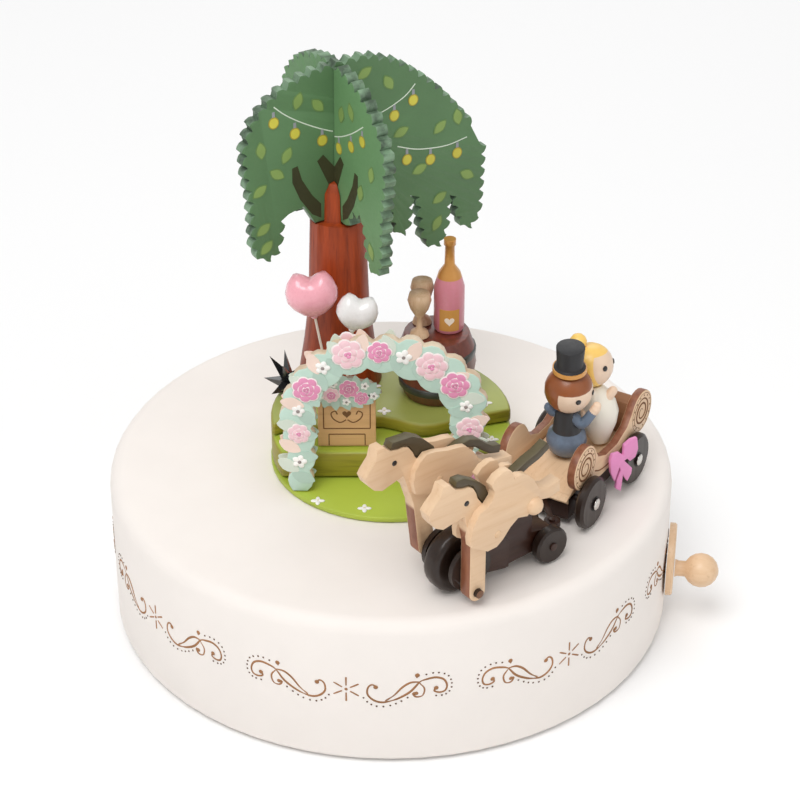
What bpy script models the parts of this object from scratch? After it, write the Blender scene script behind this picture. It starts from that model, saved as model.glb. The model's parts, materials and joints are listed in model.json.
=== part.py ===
"""Wooden wind-up music box with a horse-drawn carriage that circles a garden.

The drum holds a spring-driven musical movement. Its spring barrel turns a
crown gear and an arm under the deck, and a magnet on the arm draws the horse
team and the carriage round the garden. The team's front wheel is a crank that
makes the two horses gallop.

Frame: origin at the centre of the circle that the feet stand on, +Z up,
front of the garden towards -Y. All lengths are in metres.
"""
import math

import bmesh
import bpy
from mathutils import Matrix, Vector

# Fits
GAP = 0.0003              # between pieces that touch
RUNNING_GAP = 0.0001      # radial gap of a shaft in its bore

# Drum
DRUM_RADIUS = 0.085
DECK_HEIGHT = 0.049
DECK_THICKNESS = 0.004
DRUM_WALL = 0.006
TOP_EDGE_RADIUS = 0.0042
BOTTOM_EDGE_RADIUS = 0.0015
DRUM_LIFT = 0.001         # the rim stands clear of the table
PLATE_THICKNESS = 0.0032
PLATE_RECESS = 0.0005
REBATE_WIDTH = 0.002

# Feet
FOOT_COUNT = 3
FOOT_RADIUS = 0.006
FOOT_INSET = 0.023

# Winding crank
KEY_AZIMUTH = math.radians(-9.0)
KEY_HEIGHT = 0.020
KEY_SHAFT_RADIUS = 0.0015
CRANK_DISC_RADIUS = 0.0111
CRANK_DISC_THICKNESS = 0.0021
KNOB_RADIUS = 0.0053
KNOB_NECK_RADIUS = 0.0024
KNOB_NECK_LENGTH = 0.0026
KNOB_OFFSET = 0.0045

# Musical movement, placed along the key's axis
BEDPLATE_THICKNESS = 0.002
BEDPLATE_START = 0.0125
BEDPLATE_END = 0.0622
BEDPLATE_FRONT = -0.015
BEDPLATE_BACK = 0.0452
CHEEK_THICKNESS = 0.0025
OUTPUT_TEETH = 16
OUTPUT_MODULE = 0.0012
OUTPUT_FACE = 0.003
BARREL_TEETH = 32
BARREL_MODULE = 0.00075
BARREL_RADIUS = 0.0105
BARREL_LENGTH = 0.014
BARREL_START = 0.0185
BARREL_RIM = 0.0028
BARREL_SHAFT_RADIUS = 0.0025
CYLINDER_TEETH = 16
CYLINDER_RADIUS = 0.0052
CYLINDER_LENGTH = 0.024
CYLINDER_SIDES = 24
PIN_HEIGHT = 0.0006
PIN_RADIUS = 0.0005
PIN_ROWS = 9
PINS_PER_ROW = 4
GOVERNOR_TEETH = 8
GOVERNOR_WHEEL_TEETH = 24
GOVERNOR_MODULE = 0.00075
GOVERNOR_WHEEL_FACE = 0.0018
FAN_RADIUS = 0.0048
FAN_THICKNESS = 0.0006
COMB_TEETH = 18
COMB_THICKNESS = 0.001
COMB_LENGTH = 0.021
COMB_ROOT = 0.008

# Drive below the deck
SPINDLE_RADIUS = 0.0015
CROWN_WEB = 0.002
HUB_RADIUS = 0.004
ARM_THICKNESS = 0.003
ARM_WIDTH = 0.008
ARM_BOSS_RADIUS = 0.007
MAGNET_RADIUS = 0.005
MAGNET_HEIGHT = 0.0024
TRACK_INSET = 0.019       # of the magnet's path, from the drum's side
DECK_CLEARANCE = 0.0008

# Garden
GARDEN_X = 0.0
GARDEN_Y = 0.0
GROUND_RADIUS = 0.0363
GROUND_THICKNESS = 0.0017
TERRACE_RADIUS = 0.0360
LOWER_TERRACE_HEIGHT = 0.0090
LOWER_TERRACE_FRONT = -0.0157
UPPER_TERRACE_HEIGHT = 0.0045
UPPER_TERRACE_FRONT = -0.0055
UPPER_TERRACE_WAVE = 0.0027
UPPER_TERRACE_WAVELENGTH = 0.030
UPPER_TERRACE_CREST = -0.0045
TERRACE_EDGE = 0.0007

# Tree
TREE_X = -0.0156
TREE_Y = 0.020
TREE_TURN = math.radians(30.0)
TRUNK_SHOULDER = 0.0555   # above the upper terrace
TRUNK_HEIGHT = 0.0690
TRUNK_FOOT_RADIUS = 0.0128
TRUNK_WAIST_RADIUS = 0.0092
TRUNK_SHOULDER_RADIUS = 0.0082
TRUNK_TENON_RADIUS = 0.0060
BOARD_THICKNESS = 0.0035
BOARD_HEIGHT = 0.0475     # along the crossing line
LEAF_PITCH = 0.0039
LEAF_DEPTH = 0.0014

# Wine barrel, bottle and goblets
KEG_X = 0.0138
KEG_Y = 0.0115
KEG_HEIGHT = 0.0205
KEG_END_RADIUS = 0.0098
KEG_BELLY_RADIUS = 0.0119
HOOP_HEIGHT = 0.0022
HOOP_RELIEF = 0.0004
BOTTLE_OFFSET_X = 0.0036
BOTTLE_OFFSET_Y = 0.0017
BOTTLE_RADIUS = 0.0046
BOTTLE_HEIGHT = 0.030
BOTTLE_NECK_RADIUS = 0.0014
GOBLET_HEIGHT = 0.0142
GOBLET_RADIUS = 0.0036
GOBLET_FOOT_RADIUS = 0.0030

# Balloons
BALLOON_WIDTH = 0.0158
BALLOON_SMALL = 0.0126
HEART_SQUASH = 0.93
STICK_RADIUS = 0.0004

# Arch, sign and bush
ARCH_LEFT_X = -0.0279
ARCH_LEFT_Y = -0.0211
ARCH_TURN = math.radians(-4.0)
ARCH_THICKNESS = 0.003
PETAL_PITCH = 0.0074
PETAL_DEPTH = 0.0013
SIGN_CENTRE_X = -0.0130
SIGN_WIDTH = 0.0172
SIGN_HEIGHT = 0.0205
SIGN_THICKNESS = 0.0024
SIGN_Y = -0.0127
GARLAND_THICKNESS = 0.0014
BUSH_X = -0.0305
BUSH_Y = 0.0112
BUSH_RADIUS = 0.0030
BUSH_SPIKE = 0.0076

# Horse team, in its own frame: X forward, Y outward, Z up from the deck
TEAM_X = 0.0179
TEAM_Y = -0.0675
TEAM_HEADING = math.radians(-143.0)
CRANK_WHEEL_RADIUS = 0.0099
CRANK_WHEEL_WIDTH = 0.0060
CRANK_THROW = 0.0052
NEAR_CRANK_ANGLE = math.radians(-76.0)
FAR_CRANK_ANGLE = math.radians(22.0)
CRANK_PIN_RADIUS = 0.0013
CRANK_WEB_RADIUS = 0.0069
CRANK_WEB = 0.0016
AXLE_RADIUS = 0.0018
FORK_THICKNESS = 0.0016
TEAM_WHEELBASE = 0.0288
REAR_WHEEL_RADIUS = 0.0056
REAR_WHEEL_WIDTH = 0.0034
POST_X = -0.0195
POST_TOP = 0.0255
POST_RADIUS = 0.0042
HORSE_CORE = 0.0040
HORSE_INNER_HALF = 0.0019
HORSE_OUTER_HALF = 0.0024
BEAD_RADIUS = 0.0028
BEAD_X = -0.0176
BEAD_Z = 0.0228
TAIL_WIDTH = 0.0024

# Carriage, in its own frame: X forward, Y outward, Z up from the deck
CARRIAGE_X = 0.0524
CARRIAGE_Y = -0.0184
CARRIAGE_HEADING = math.radians(-121.6)
WHEEL_RADIUS = 0.0079
WHEEL_WIDTH = 0.0030
CARRIAGE_WHEELBASE = 0.0275
CHASSIS_HALF_WIDTH = 0.0092
CHASSIS_BOTTOM = 0.0026
CHASSIS_TOP = 0.0108
FLOOR_THICKNESS = 0.0025
PANEL_THICKNESS = 0.0026
SCROLL_RADIUS = 0.0068
SCROLL_HEIGHT = 0.0195
FRONT_SCROLL = 0.0142
REAR_SCROLL = -0.0216
NAIL_RADIUS = 0.0017
NAIL_HEAD = 0.0003
HITCH_REACH = 0.0350      # behind the team's front axle
HITCH_HEIGHT = 0.0066
HITCH_TONGUE = 0.0016
HITCH_PIN_RADIUS = 0.0009
HITCH_EYE_RADIUS = 0.0024
HITCH_EYE_THICKNESS = 0.0014
HITCH_BAR = 0.0008        # half the drawbar's width
BOW_THICKNESS = 0.0012
BOW_X = -0.0028
BOW_Y = 0.0164
BOW_TURN = math.radians(-27.8)

# Figures
GROOM_X = 0.0020
GROOM_Y = -0.0002
GROOM_LEAN = (math.radians(-2.5), math.radians(4.6), 0.0)
GROOM_HEAD_RADIUS = 0.0071
GROOM_RADIUS = 0.0060
GROOM_HEIGHT = 0.0160
BRIDE_X = -0.0078
BRIDE_Y = 0.0061
BRIDE_LEAN = (math.radians(12.5), math.radians(-5.0), 0.0)
BRIDE_HEAD_RADIUS = 0.0066
BRIDE_RADIUS = 0.0065
BRIDE_HEIGHT = 0.0178
HEAD_FLAT = 0.94          # share of the radius where the flats lie
HAT_RADIUS = 0.0042
HAT_BRIM = 0.0047
HAT_HEIGHT = 0.0078
BUN_RADIUS = 0.0026


# Values worked out from the ones above

FOOT_CIRCLE = DRUM_RADIUS - FOOT_INSET
MAGNET_REACH = DRUM_RADIUS - TRACK_INSET
WHEEL_CLEARANCE = GAP
PLATE_BOTTOM = DRUM_LIFT + PLATE_RECESS
PLATE_TOP = PLATE_BOTTOM + PLATE_THICKNESS
DECK_UNDERSIDE = DECK_HEIGHT - DECK_THICKNESS
GROUND_TOP = DECK_HEIGHT + GAP + GROUND_THICKNESS
LOWER_TOP = GROUND_TOP + GAP + LOWER_TERRACE_HEIGHT
UPPER_TOP = LOWER_TOP + GAP + UPPER_TERRACE_HEIGHT
OUTPUT_RADIUS = OUTPUT_TEETH * OUTPUT_MODULE / 2
BARREL_PITCH_RADIUS = BARREL_TEETH * BARREL_MODULE / 2
CYLINDER_PITCH_RADIUS = CYLINDER_TEETH * BARREL_MODULE / 2
CYLINDER_Y = BARREL_PITCH_RADIUS + CYLINDER_PITCH_RADIUS
GOVERNOR_WHEEL_PITCH = GOVERNOR_WHEEL_TEETH * GOVERNOR_MODULE / 2
GOVERNOR_RISE = GOVERNOR_WHEEL_PITCH + GOVERNOR_TEETH * GOVERNOR_MODULE / 2
ARM_TOP = DECK_UNDERSIDE - DECK_CLEARANCE - MAGNET_HEIGHT - GAP
ARM_BOTTOM = ARM_TOP - ARM_THICKNESS
FORK_Y = CRANK_WHEEL_WIDTH / 2 + GAP
CRANK_WEB_Y = FORK_Y + FORK_THICKNESS + GAP
HORSE_CORE_Y = CRANK_WEB_Y + CRANK_WEB + GAP
CRANK_AXLE_HEIGHT = CRANK_WHEEL_RADIUS + WHEEL_CLEARANCE
REAR_AXLE_HEIGHT = REAR_WHEEL_RADIUS + WHEEL_CLEARANCE
CARRIAGE_AXLE_HEIGHT = WHEEL_RADIUS + WHEEL_CLEARANCE
FLOOR_BOTTOM = CHASSIS_TOP + GAP
FLOOR_TOP = FLOOR_BOTTOM + FLOOR_THICKNESS
FLOOR_HALF_WIDTH = CHASSIS_HALF_WIDTH + 0.0004
PANEL_INSIDE = FLOOR_HALF_WIDTH + GAP
PANEL_OUTSIDE = PANEL_INSIDE + PANEL_THICKNESS
WHEEL_INSIDE = PANEL_OUTSIDE + GAP


def clear_scene():
    for obj in list(bpy.data.objects):
        bpy.data.objects.remove(obj, do_unlink=True)


MATERIALS = {
    "cream_paint": ((0.90, 0.87, 0.83), 0.55, 0.0),
    "bare_wood": ((0.80, 0.63, 0.45), 0.60, 0.0),
    "beech": ((0.82, 0.66, 0.50), 0.55, 0.0),
    "rubber": ((0.03, 0.03, 0.03), 0.85, 0.0),
    "steel": ((0.62, 0.62, 0.63), 0.35, 1.0),
    "brass": ((0.75, 0.58, 0.28), 0.35, 1.0),
    "magnet": ((0.30, 0.30, 0.32), 0.40, 1.0),
    "grass_light": ((0.40, 0.55, 0.10), 0.60, 0.0),
    "grass_olive": ((0.42, 0.40, 0.06), 0.60, 0.0),
    "trunk_brown": ((0.30, 0.09, 0.03), 0.55, 0.0),
    "leaf_green": ((0.10, 0.20, 0.10), 0.60, 0.0),
    "keg_brown": ((0.10, 0.03, 0.02), 0.40, 0.0),
    "bottle_pink": ((0.62, 0.22, 0.32), 0.40, 0.0),
    "balloon_pink": ((0.85, 0.38, 0.42), 0.30, 0.0),
    "balloon_white": ((0.90, 0.89, 0.87), 0.30, 0.0),
    "bush_black": ((0.01, 0.01, 0.01), 0.30, 0.0),
    "arch_mint": ((0.62, 0.72, 0.62), 0.60, 0.0),
    "garland": ((0.50, 0.42, 0.42), 0.60, 0.0),
    "horse_wood": ((0.80, 0.62, 0.44), 0.55, 0.0),
    "mane": ((0.12, 0.10, 0.06), 0.55, 0.0),
    "dark_wood": ((0.06, 0.03, 0.02), 0.40, 0.0),
    "wheel_dark": ((0.05, 0.04, 0.035), 0.45, 0.0),
    "bow_pink": ((0.80, 0.30, 0.50), 0.45, 0.0),
    "suit": ((0.10, 0.13, 0.18), 0.45, 0.0),
    "skin": ((0.82, 0.62, 0.45), 0.50, 0.0),
    "hair_blond": ((0.85, 0.45, 0.10), 0.40, 0.0),
    "hat_black": ((0.02, 0.02, 0.025), 0.50, 0.0),
    "dress_white": ((0.80, 0.78, 0.72), 0.50, 0.0),
}


def material(name):
    found = bpy.data.materials.get(name)
    if found:
        return found
    colour, roughness, metallic = MATERIALS[name]
    made = bpy.data.materials.new(name)
    made.use_nodes = True
    shader = made.node_tree.nodes["Principled BSDF"]
    shader.inputs["Base Color"].default_value = (*colour, 1.0)
    shader.inputs["Roughness"].default_value = roughness
    shader.inputs["Metallic"].default_value = metallic
    return made


def add_object(name, bm, finish, parent=None, location=(0, 0, 0), rotation=(0, 0, 0)):
    bmesh.ops.recalc_face_normals(bm, faces=bm.faces)
    mesh = bpy.data.meshes.new(name)
    bm.to_mesh(mesh)
    bm.free()
    mesh.materials.append(material(finish))
    mesh.shade_smooth()
    mesh.set_sharp_from_angle(angle=math.radians(35))
    obj = bpy.data.objects.new(name, mesh)
    bpy.context.scene.collection.objects.link(obj)
    obj.parent = parent
    obj.location = location
    obj.rotation_euler = rotation
    return obj


def add_frame(name, parent=None, location=(0, 0, 0), turn=0.0):
    """An empty that carries pieces in their own frame."""
    empty = bpy.data.objects.new(name, None)
    bpy.context.scene.collection.objects.link(empty)
    empty.parent = parent
    empty.location = location
    empty.rotation_euler = (0, 0, turn)
    return empty


def combine(target, bm, operation):
    """Boolean the mesh in bm, given in the target's own space, into the target."""
    operand = add_object(f"{target.name}_{operation.lower()}_{len(target.modifiers)}", bm, "steel",
                         target.parent, target.location, target.rotation_euler)
    operand.hide_render = True
    operand.display_type = "WIRE"
    modifier = target.modifiers.new(operand.name, "BOOLEAN")
    modifier.operation = operation
    modifier.solver = "EXACT"
    modifier.object = operand


def cut(target, bm):
    combine(target, bm, "DIFFERENCE")


def join(target, bm):
    combine(target, bm, "UNION")


def moved(bm, x=0.0, y=0.0, z=0.0, rotation=None):
    matrix = Matrix.Translation((x, y, z))
    if rotation is not None:
        matrix = matrix @ rotation
    bmesh.ops.transform(bm, matrix=matrix, verts=bm.verts)
    return bm


Z_TO_X = Matrix.Rotation(math.pi / 2, 4, "Y")
Z_TO_Y = Matrix.Rotation(-math.pi / 2, 4, "X")


def rings(columns):
    """Closed solid from one (radius, height) column for each (angle, column) pair."""
    bm = bmesh.new()
    first = columns[0][1]
    solid = first[0][0] == 0.0
    start = bm.verts.new((0, 0, first[0][1])) if solid else None
    end = bm.verts.new((0, 0, first[-1][1])) if solid else None
    strips = []
    for angle, column in columns:
        strip = []
        for index, (radius, height) in enumerate(column):
            if solid and index == 0:
                strip.append(start)
            elif solid and index == len(column) - 1:
                strip.append(end)
            else:
                strip.append(bm.verts.new((radius * math.cos(angle), radius * math.sin(angle), height)))
        strips.append(strip)
    steps = len(first) - 1 if solid else len(first)
    for index, strip in enumerate(strips):
        following = strips[(index + 1) % len(strips)]
        for step in range(steps):
            after = (step + 1) % len(first)
            corners = [strip[step], following[step], following[after], strip[after]]
            unique = []
            for corner in corners:
                if corner not in unique:
                    unique.append(corner)
            bm.faces.new(unique)
    return bm


def turned(profile, sides=24, phase=0.0):
    """A profile of (radius, height) points turned about Z; radius 0 at both ends makes it solid."""
    return rings([(phase + math.tau * i / sides, profile) for i in range(sides)])


def rod(radius, start, end, sides=12):
    return turned([(0.0, start), (radius, start), (radius, end), (0.0, end)], sides)


def ball(radius, sides=16):
    rows = sides // 2
    profile = [(0.0, -radius)]
    for i in range(1, rows):
        angle = math.pi * i / rows
        profile.append((radius * math.sin(angle), -radius * math.cos(angle)))
    profile.append((0.0, radius))
    return turned(profile, sides)


def box(x0, x1, y0, y1, z0, z1):
    return prism([(x0, y0), (x1, y0), (x1, y1), (x0, y1)], z0, z1)


def prism(outline, bottom, top):
    """An outline in XY raised from bottom to top."""
    bm = bmesh.new()
    low = [bm.verts.new((x, y, bottom)) for x, y in outline]
    high = [bm.verts.new((x, y, top)) for x, y in outline]
    bm.faces.new(low)
    bm.faces.new(high)
    for i in range(len(outline)):
        j = (i + 1) % len(outline)
        bm.faces.new([low[i], low[j], high[j], high[i]])
    return bm


def slab(outline, near, far):
    """An outline in XZ given thickness along Y, from near to far."""
    bm = prism(outline, near, far)
    swap = Matrix(((1, 0, 0, 0), (0, 0, 1, 0), (0, 1, 0, 0), (0, 0, 0, 1)))
    bmesh.ops.transform(bm, matrix=swap, verts=bm.verts)
    return bm


def arc(x, y, radius, start, end, steps):
    """Points on an arc; angles in degrees."""
    points = []
    for i in range(steps + 1):
        angle = math.radians(start + (end - start) * i / steps)
        points.append((x + radius * math.cos(angle), y + radius * math.sin(angle)))
    return points


def smooth(points, steps=4):
    """An open Catmull-Rom curve through the points."""
    path = [Vector(point) for point in points]
    path = [2 * path[0] - path[1]] + path + [2 * path[-1] - path[-2]]
    curve = []
    for i in range(1, len(path) - 2):
        a, b, c, d = path[i - 1:i + 3]
        for step in range(steps):
            t = step / steps
            point = 0.5 * (2 * b + (c - a) * t + (2 * a - 5 * b + 4 * c - d) * t * t
                           + (3 * b - a - 3 * c + d) * t ** 3)
            curve.append((point.x, point.y))
    curve.append(tuple(path[-2]))
    return curve


def leafy(points, pitch, depth, round_tip=False):
    """Leaf or petal tips along an open path; tips stand out on its right side."""
    path = [Vector(point) for point in points]
    lengths = [0.0]
    for a, b in zip(path, path[1:]):
        lengths.append(lengths[-1] + (b - a).length)
    count = max(1, round(lengths[-1] / pitch))

    def at(distance):
        for i in range(1, len(path)):
            if distance <= lengths[i] or i == len(path) - 1:
                span = lengths[i] - lengths[i - 1]
                direction = (path[i] - path[i - 1]) / span
                spot = path[i - 1] + direction * (distance - lengths[i - 1])
                return spot, Vector((direction.y, -direction.x))

    outline = []
    tip_shares = (0.25, 0.5, 0.75) if round_tip else (0.62,)
    for leaf in range(count):
        notch, side = at(lengths[-1] * leaf / count)
        outline.append(tuple(notch - side * depth * 0.4))
        for share in tip_shares:
            tip, side = at(lengths[-1] * (leaf + share) / count)
            reach = depth * (1.0 if share == tip_shares[len(tip_shares) // 2] else 0.7)
            outline.append(tuple(tip + side * reach))
    return outline


def gear_outline(teeth, module, phase=0.0):
    """A spur gear's outline with straight flanks and backlash; a tooth points along the phase angle."""
    pitch = math.tau / teeth
    pitch_radius = teeth * module / 2
    root = pitch_radius - 1.15 * module
    tip = pitch_radius + 0.9 * module
    outline = []
    for tooth in range(teeth):
        centre = phase + tooth * pitch
        for share, radius in ((-0.30, root), (-0.11, tip), (0.11, tip), (0.30, root)):
            angle = centre + share * pitch
            outline.append((radius * math.cos(angle), radius * math.sin(angle)))
    return outline


def gear(teeth, module, bottom, top, phase=0.0):
    return prism(gear_outline(teeth, module, phase), bottom, top)


def polar(x, y, distance, angle):
    return (x + distance * math.cos(angle), y + distance * math.sin(angle))


# Drum, bottom plate and feet

def build_drum():
    rim = DRUM_RADIUS - DRUM_WALL + REBATE_WIDTH
    shelf = PLATE_TOP + GAP
    inside = DRUM_RADIUS - DRUM_WALL
    profile = [(0.0, DECK_UNDERSIDE), (inside, DECK_UNDERSIDE), (inside, shelf), (rim, shelf)]
    profile += [(rim, DRUM_LIFT)]
    low = BOTTOM_EDGE_RADIUS
    profile += arc(DRUM_RADIUS - low, DRUM_LIFT + low, low, -90, 0, 2)
    high = TOP_EDGE_RADIUS
    profile += arc(DRUM_RADIUS - high, DECK_HEIGHT - high, high, 0, 90, 4)
    profile += [(0.0, DECK_HEIGHT)]
    drum = add_object("drum_shell", turned(profile, 64), "cream_paint")
    bore = rod(KEY_SHAFT_RADIUS + RUNNING_GAP, inside - 0.004, DRUM_RADIUS + 0.004)
    bore = moved(bore, rotation=Z_TO_X)
    bmesh.ops.rotate(bore, cent=(0, 0, 0), matrix=Matrix.Rotation(KEY_AZIMUTH, 3, "Z"), verts=bore.verts)
    cut(drum, moved(bore, z=KEY_HEIGHT))
    plate_radius = rim - GAP
    add_object("bottom_plate", rod(plate_radius, PLATE_BOTTOM, PLATE_TOP, 48), "bare_wood")
    for i in range(FOOT_COUNT):
        x, y = polar(0.0, 0.0, FOOT_CIRCLE, math.radians(90 + 360 * i / FOOT_COUNT))
        foot = rod(FOOT_RADIUS, 0.0, PLATE_BOTTOM - GAP, 24)
        add_object(f"rubber_foot_{i + 1}", foot, "rubber", location=(x, y, 0))


# Winding crank: disc outside the drum, knob off its centre, shaft to the barrel

def build_crank(axis):
    disc_start = DRUM_RADIUS + GAP
    disc_end = disc_start + CRANK_DISC_THICKNESS
    shaft_start = BARREL_START + BARREL_LENGTH + GAP
    shaft = moved(rod(KEY_SHAFT_RADIUS, shaft_start, disc_start - GAP), rotation=Z_TO_X)
    add_object("winding_shaft", shaft, "steel", axis)
    edge = 0.0005
    disc = turned([(0.0, disc_start), (CRANK_DISC_RADIUS, disc_start), (CRANK_DISC_RADIUS, disc_end - edge),
                   (CRANK_DISC_RADIUS - edge, disc_end), (0.0, disc_end)], 32)
    add_object("crank_disc", moved(disc, rotation=Z_TO_X), "beech", axis)
    knob_start = disc_end + GAP
    centre = knob_start + KNOB_NECK_LENGTH + KNOB_RADIUS
    meet = math.degrees(math.asin(KNOB_NECK_RADIUS / KNOB_RADIUS))
    profile = [(0.0, knob_start), (KNOB_NECK_RADIUS * 1.15, knob_start),
               (KNOB_NECK_RADIUS, knob_start + 0.001)]
    profile += arc(0.0, centre, KNOB_RADIUS, -90 + meet, 80, 7)
    profile += [(0.0, centre + KNOB_RADIUS)]
    knob = moved(turned(profile, 16), rotation=Z_TO_X)
    add_object("crank_knob", knob, "beech", axis, location=(0, -KNOB_OFFSET, 0))


# Musical movement

def build_movement(axis):
    floor = PLATE_TOP + GAP - KEY_HEIGHT
    top = floor + BEDPLATE_THICKNESS
    plate = box(BEDPLATE_START, BEDPLATE_END, BEDPLATE_FRONT, BEDPLATE_BACK, floor, top)
    bedplate = add_object("movement_bedplate", plate, "brass", axis)
    sink = BEDPLATE_THICKNESS / 2
    barrel_end = BARREL_START + BARREL_LENGTH
    cylinder_start = barrel_end - BARREL_RIM
    cylinder_end = cylinder_start + BARREL_RIM + CYLINDER_LENGTH + GOVERNOR_WHEEL_FACE
    governor_z = GOVERNOR_RISE
    cheeks = (
        (BARREL_START - GAP - CHEEK_THICKNESS, -0.006, 0.006, 0.006),
        (barrel_end + 0.0025, -0.006, 0.006, 0.006),
        (cylinder_start - GAP - CHEEK_THICKNESS, CYLINDER_Y - 0.003, CYLINDER_Y + 0.003, 0.004),
        (cylinder_end + GAP, CYLINDER_Y - 0.005, CYLINDER_Y + 0.005, governor_z + 0.003),
    )
    for start, front, back, height in cheeks:
        join(bedplate, box(start, start + CHEEK_THICKNESS, front, back, top - sink, height))
    comb_z = 0.0
    ledge_front = CYLINDER_Y + CYLINDER_RADIUS + PIN_HEIGHT + COMB_LENGTH - COMB_ROOT
    ledge_back = ledge_front + COMB_ROOT
    ledge_start = cylinder_start + BARREL_RIM + 0.0012
    ledge_end = ledge_start + CYLINDER_LENGTH - 0.0024
    ledge = box(ledge_start, ledge_end, ledge_front + 0.0006, ledge_back - 0.0002, top - sink, comb_z - GAP)
    join(bedplate, ledge)
    bores = ((0.0, 0.0, BARREL_SHAFT_RADIUS, BEDPLATE_START - 0.002, BARREL_START + 0.001),
             (0.0, 0.0, KEY_SHAFT_RADIUS, barrel_end + 0.001, barrel_end + 0.008),
             (CYLINDER_Y, 0.0, 0.0012, cylinder_start - 0.006, cylinder_start + 0.001),
             (CYLINDER_Y, 0.0, 0.0012, cylinder_end - 0.001, cylinder_end + 0.006),
             (CYLINDER_Y, governor_z, 0.0006, cylinder_end - 0.001, cylinder_end + 0.006))
    for y, z, radius, start, end in bores:
        cut(bedplate, moved(rod(radius + RUNNING_GAP, start, end), y=y, z=z, rotation=Z_TO_X))

    build_barrel(axis)
    build_cylinder(axis, cylinder_start, cylinder_end)
    build_comb(axis, ledge_start, ledge_end, ledge_back, comb_z)
    build_governor(axis, cylinder_start, cylinder_end, governor_z)


def build_barrel(axis):
    """Spring barrel with its toothed rim and the output gear, turning as one."""
    end = BARREL_START + BARREL_LENGTH
    output_start = OUTPUT_RADIUS - OUTPUT_FACE / 2
    output_end = output_start + OUTPUT_FACE
    body = turned([(0.0, output_start + 0.0005), (BARREL_SHAFT_RADIUS, output_start + 0.0005),
                   (BARREL_SHAFT_RADIUS, BARREL_START), (BARREL_RADIUS, BARREL_START),
                   (BARREL_RADIUS, end - 0.0004), (0.0, end - 0.0004)], 24)
    barrel = add_object("spring_barrel", moved(body, rotation=Z_TO_X), "brass", axis)
    half_tooth = math.pi / OUTPUT_TEETH
    output = gear(OUTPUT_TEETH, OUTPUT_MODULE, output_start, output_end, half_tooth)
    join(barrel, moved(output, rotation=Z_TO_X))
    rim = gear(BARREL_TEETH, BARREL_MODULE, end - BARREL_RIM, end, math.pi / 2)
    join(barrel, moved(rim, rotation=Z_TO_X))


def build_cylinder(axis, start, end):
    """Pinned cylinder: its pinion meshes with the barrel's rim, its wheel with the governor."""
    body_start = start + BARREL_RIM - 0.0002
    body_end = end - GOVERNOR_WHEEL_FACE + 0.0002
    journal = 0.0012
    profile = [(0.0, start - 0.0025), (journal, start - 0.0025), (journal, body_start),
               (CYLINDER_RADIUS, body_start), (CYLINDER_RADIUS, body_end), (journal, body_end),
               (journal, end + 0.0025), (0.0, end + 0.0025)]
    body = moved(turned(profile, CYLINDER_SIDES), rotation=Z_TO_X)
    cylinder = add_object("pinned_cylinder", body, "brass", axis, location=(0, CYLINDER_Y, 0))
    gap_towards_barrel = math.pi / 2 + math.pi / CYLINDER_TEETH
    pinion = gear(CYLINDER_TEETH, BARREL_MODULE, start, start + BARREL_RIM, gap_towards_barrel)
    join(cylinder, moved(pinion, rotation=Z_TO_X))
    wheel = gear(GOVERNOR_WHEEL_TEETH, GOVERNOR_MODULE, end - GOVERNOR_WHEEL_FACE, end, 0.0)
    join(cylinder, moved(wheel, rotation=Z_TO_X))
    pins = bmesh.new()
    facet = math.tau / CYLINDER_SIDES
    for row in range(PIN_ROWS):
        x = body_start + (body_end - body_start) * (row + 0.5) / PIN_ROWS
        for number in range(PINS_PER_ROW):
            angle = facet * (0.5 + (row * 7 + number * 6) % CYLINDER_SIDES)
            outward = Matrix.Translation((x, 0, CYLINDER_RADIUS + PIN_HEIGHT / 2 - 0.0003))
            turn = Matrix.Rotation(angle, 4, "X") @ outward
            bmesh.ops.create_cone(pins, cap_ends=True, segments=4, radius1=PIN_RADIUS,
                                  radius2=PIN_RADIUS * 0.6, depth=PIN_HEIGHT + 0.0006, matrix=turn)
    join(cylinder, pins)


def build_comb(axis, start, end, back, height):
    """Steel comb: a solid root screwed to the ledge and one tooth for each note."""
    root = back - COMB_ROOT
    outline = [(end, root), (end, back), (start, back), (start, root)]
    pitch = (end - start) / COMB_TEETH
    for tooth in range(COMB_TEETH):
        left = start + pitch * tooth
        length = COMB_LENGTH - COMB_ROOT - 0.0003 - 0.0030 * tooth / COMB_TEETH
        tip = back - COMB_ROOT - (COMB_LENGTH - COMB_ROOT - 0.0003)
        valley = tip + length
        outline += [(left + pitch * 0.12, valley), (left + pitch * 0.12, tip),
                    (left + pitch * 0.80, tip), (left + pitch * 0.80, valley)]
    add_object("steel_comb", prism(outline, height, height + COMB_THICKNESS), "steel", axis)


def build_governor(axis, start, end, height):
    """Air governor: a pinion driven by the cylinder's wheel, and a two-bladed fan."""
    fan_start = start + BARREL_RIM + 0.006
    fan_end = end - GOVERNOR_WHEEL_FACE - 0.003
    shaft = moved(rod(0.0006, fan_start - 0.001, end + 0.0022, 8), rotation=Z_TO_X)
    governor = add_object("governor_fan", shaft, "brass", axis, location=(0, CYLINDER_Y, height))
    gap_down = math.pi / GOVERNOR_TEETH
    pinion = gear(GOVERNOR_TEETH, GOVERNOR_MODULE, end - GOVERNOR_WHEEL_FACE, end, gap_down)
    join(governor, moved(pinion, rotation=Z_TO_X))
    join(governor, box(fan_start, fan_end, -FAN_RADIUS, FAN_RADIUS, -FAN_THICKNESS / 2, FAN_THICKNESS / 2))


# Spindle, crown gear and the arm that carries the magnet

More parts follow.
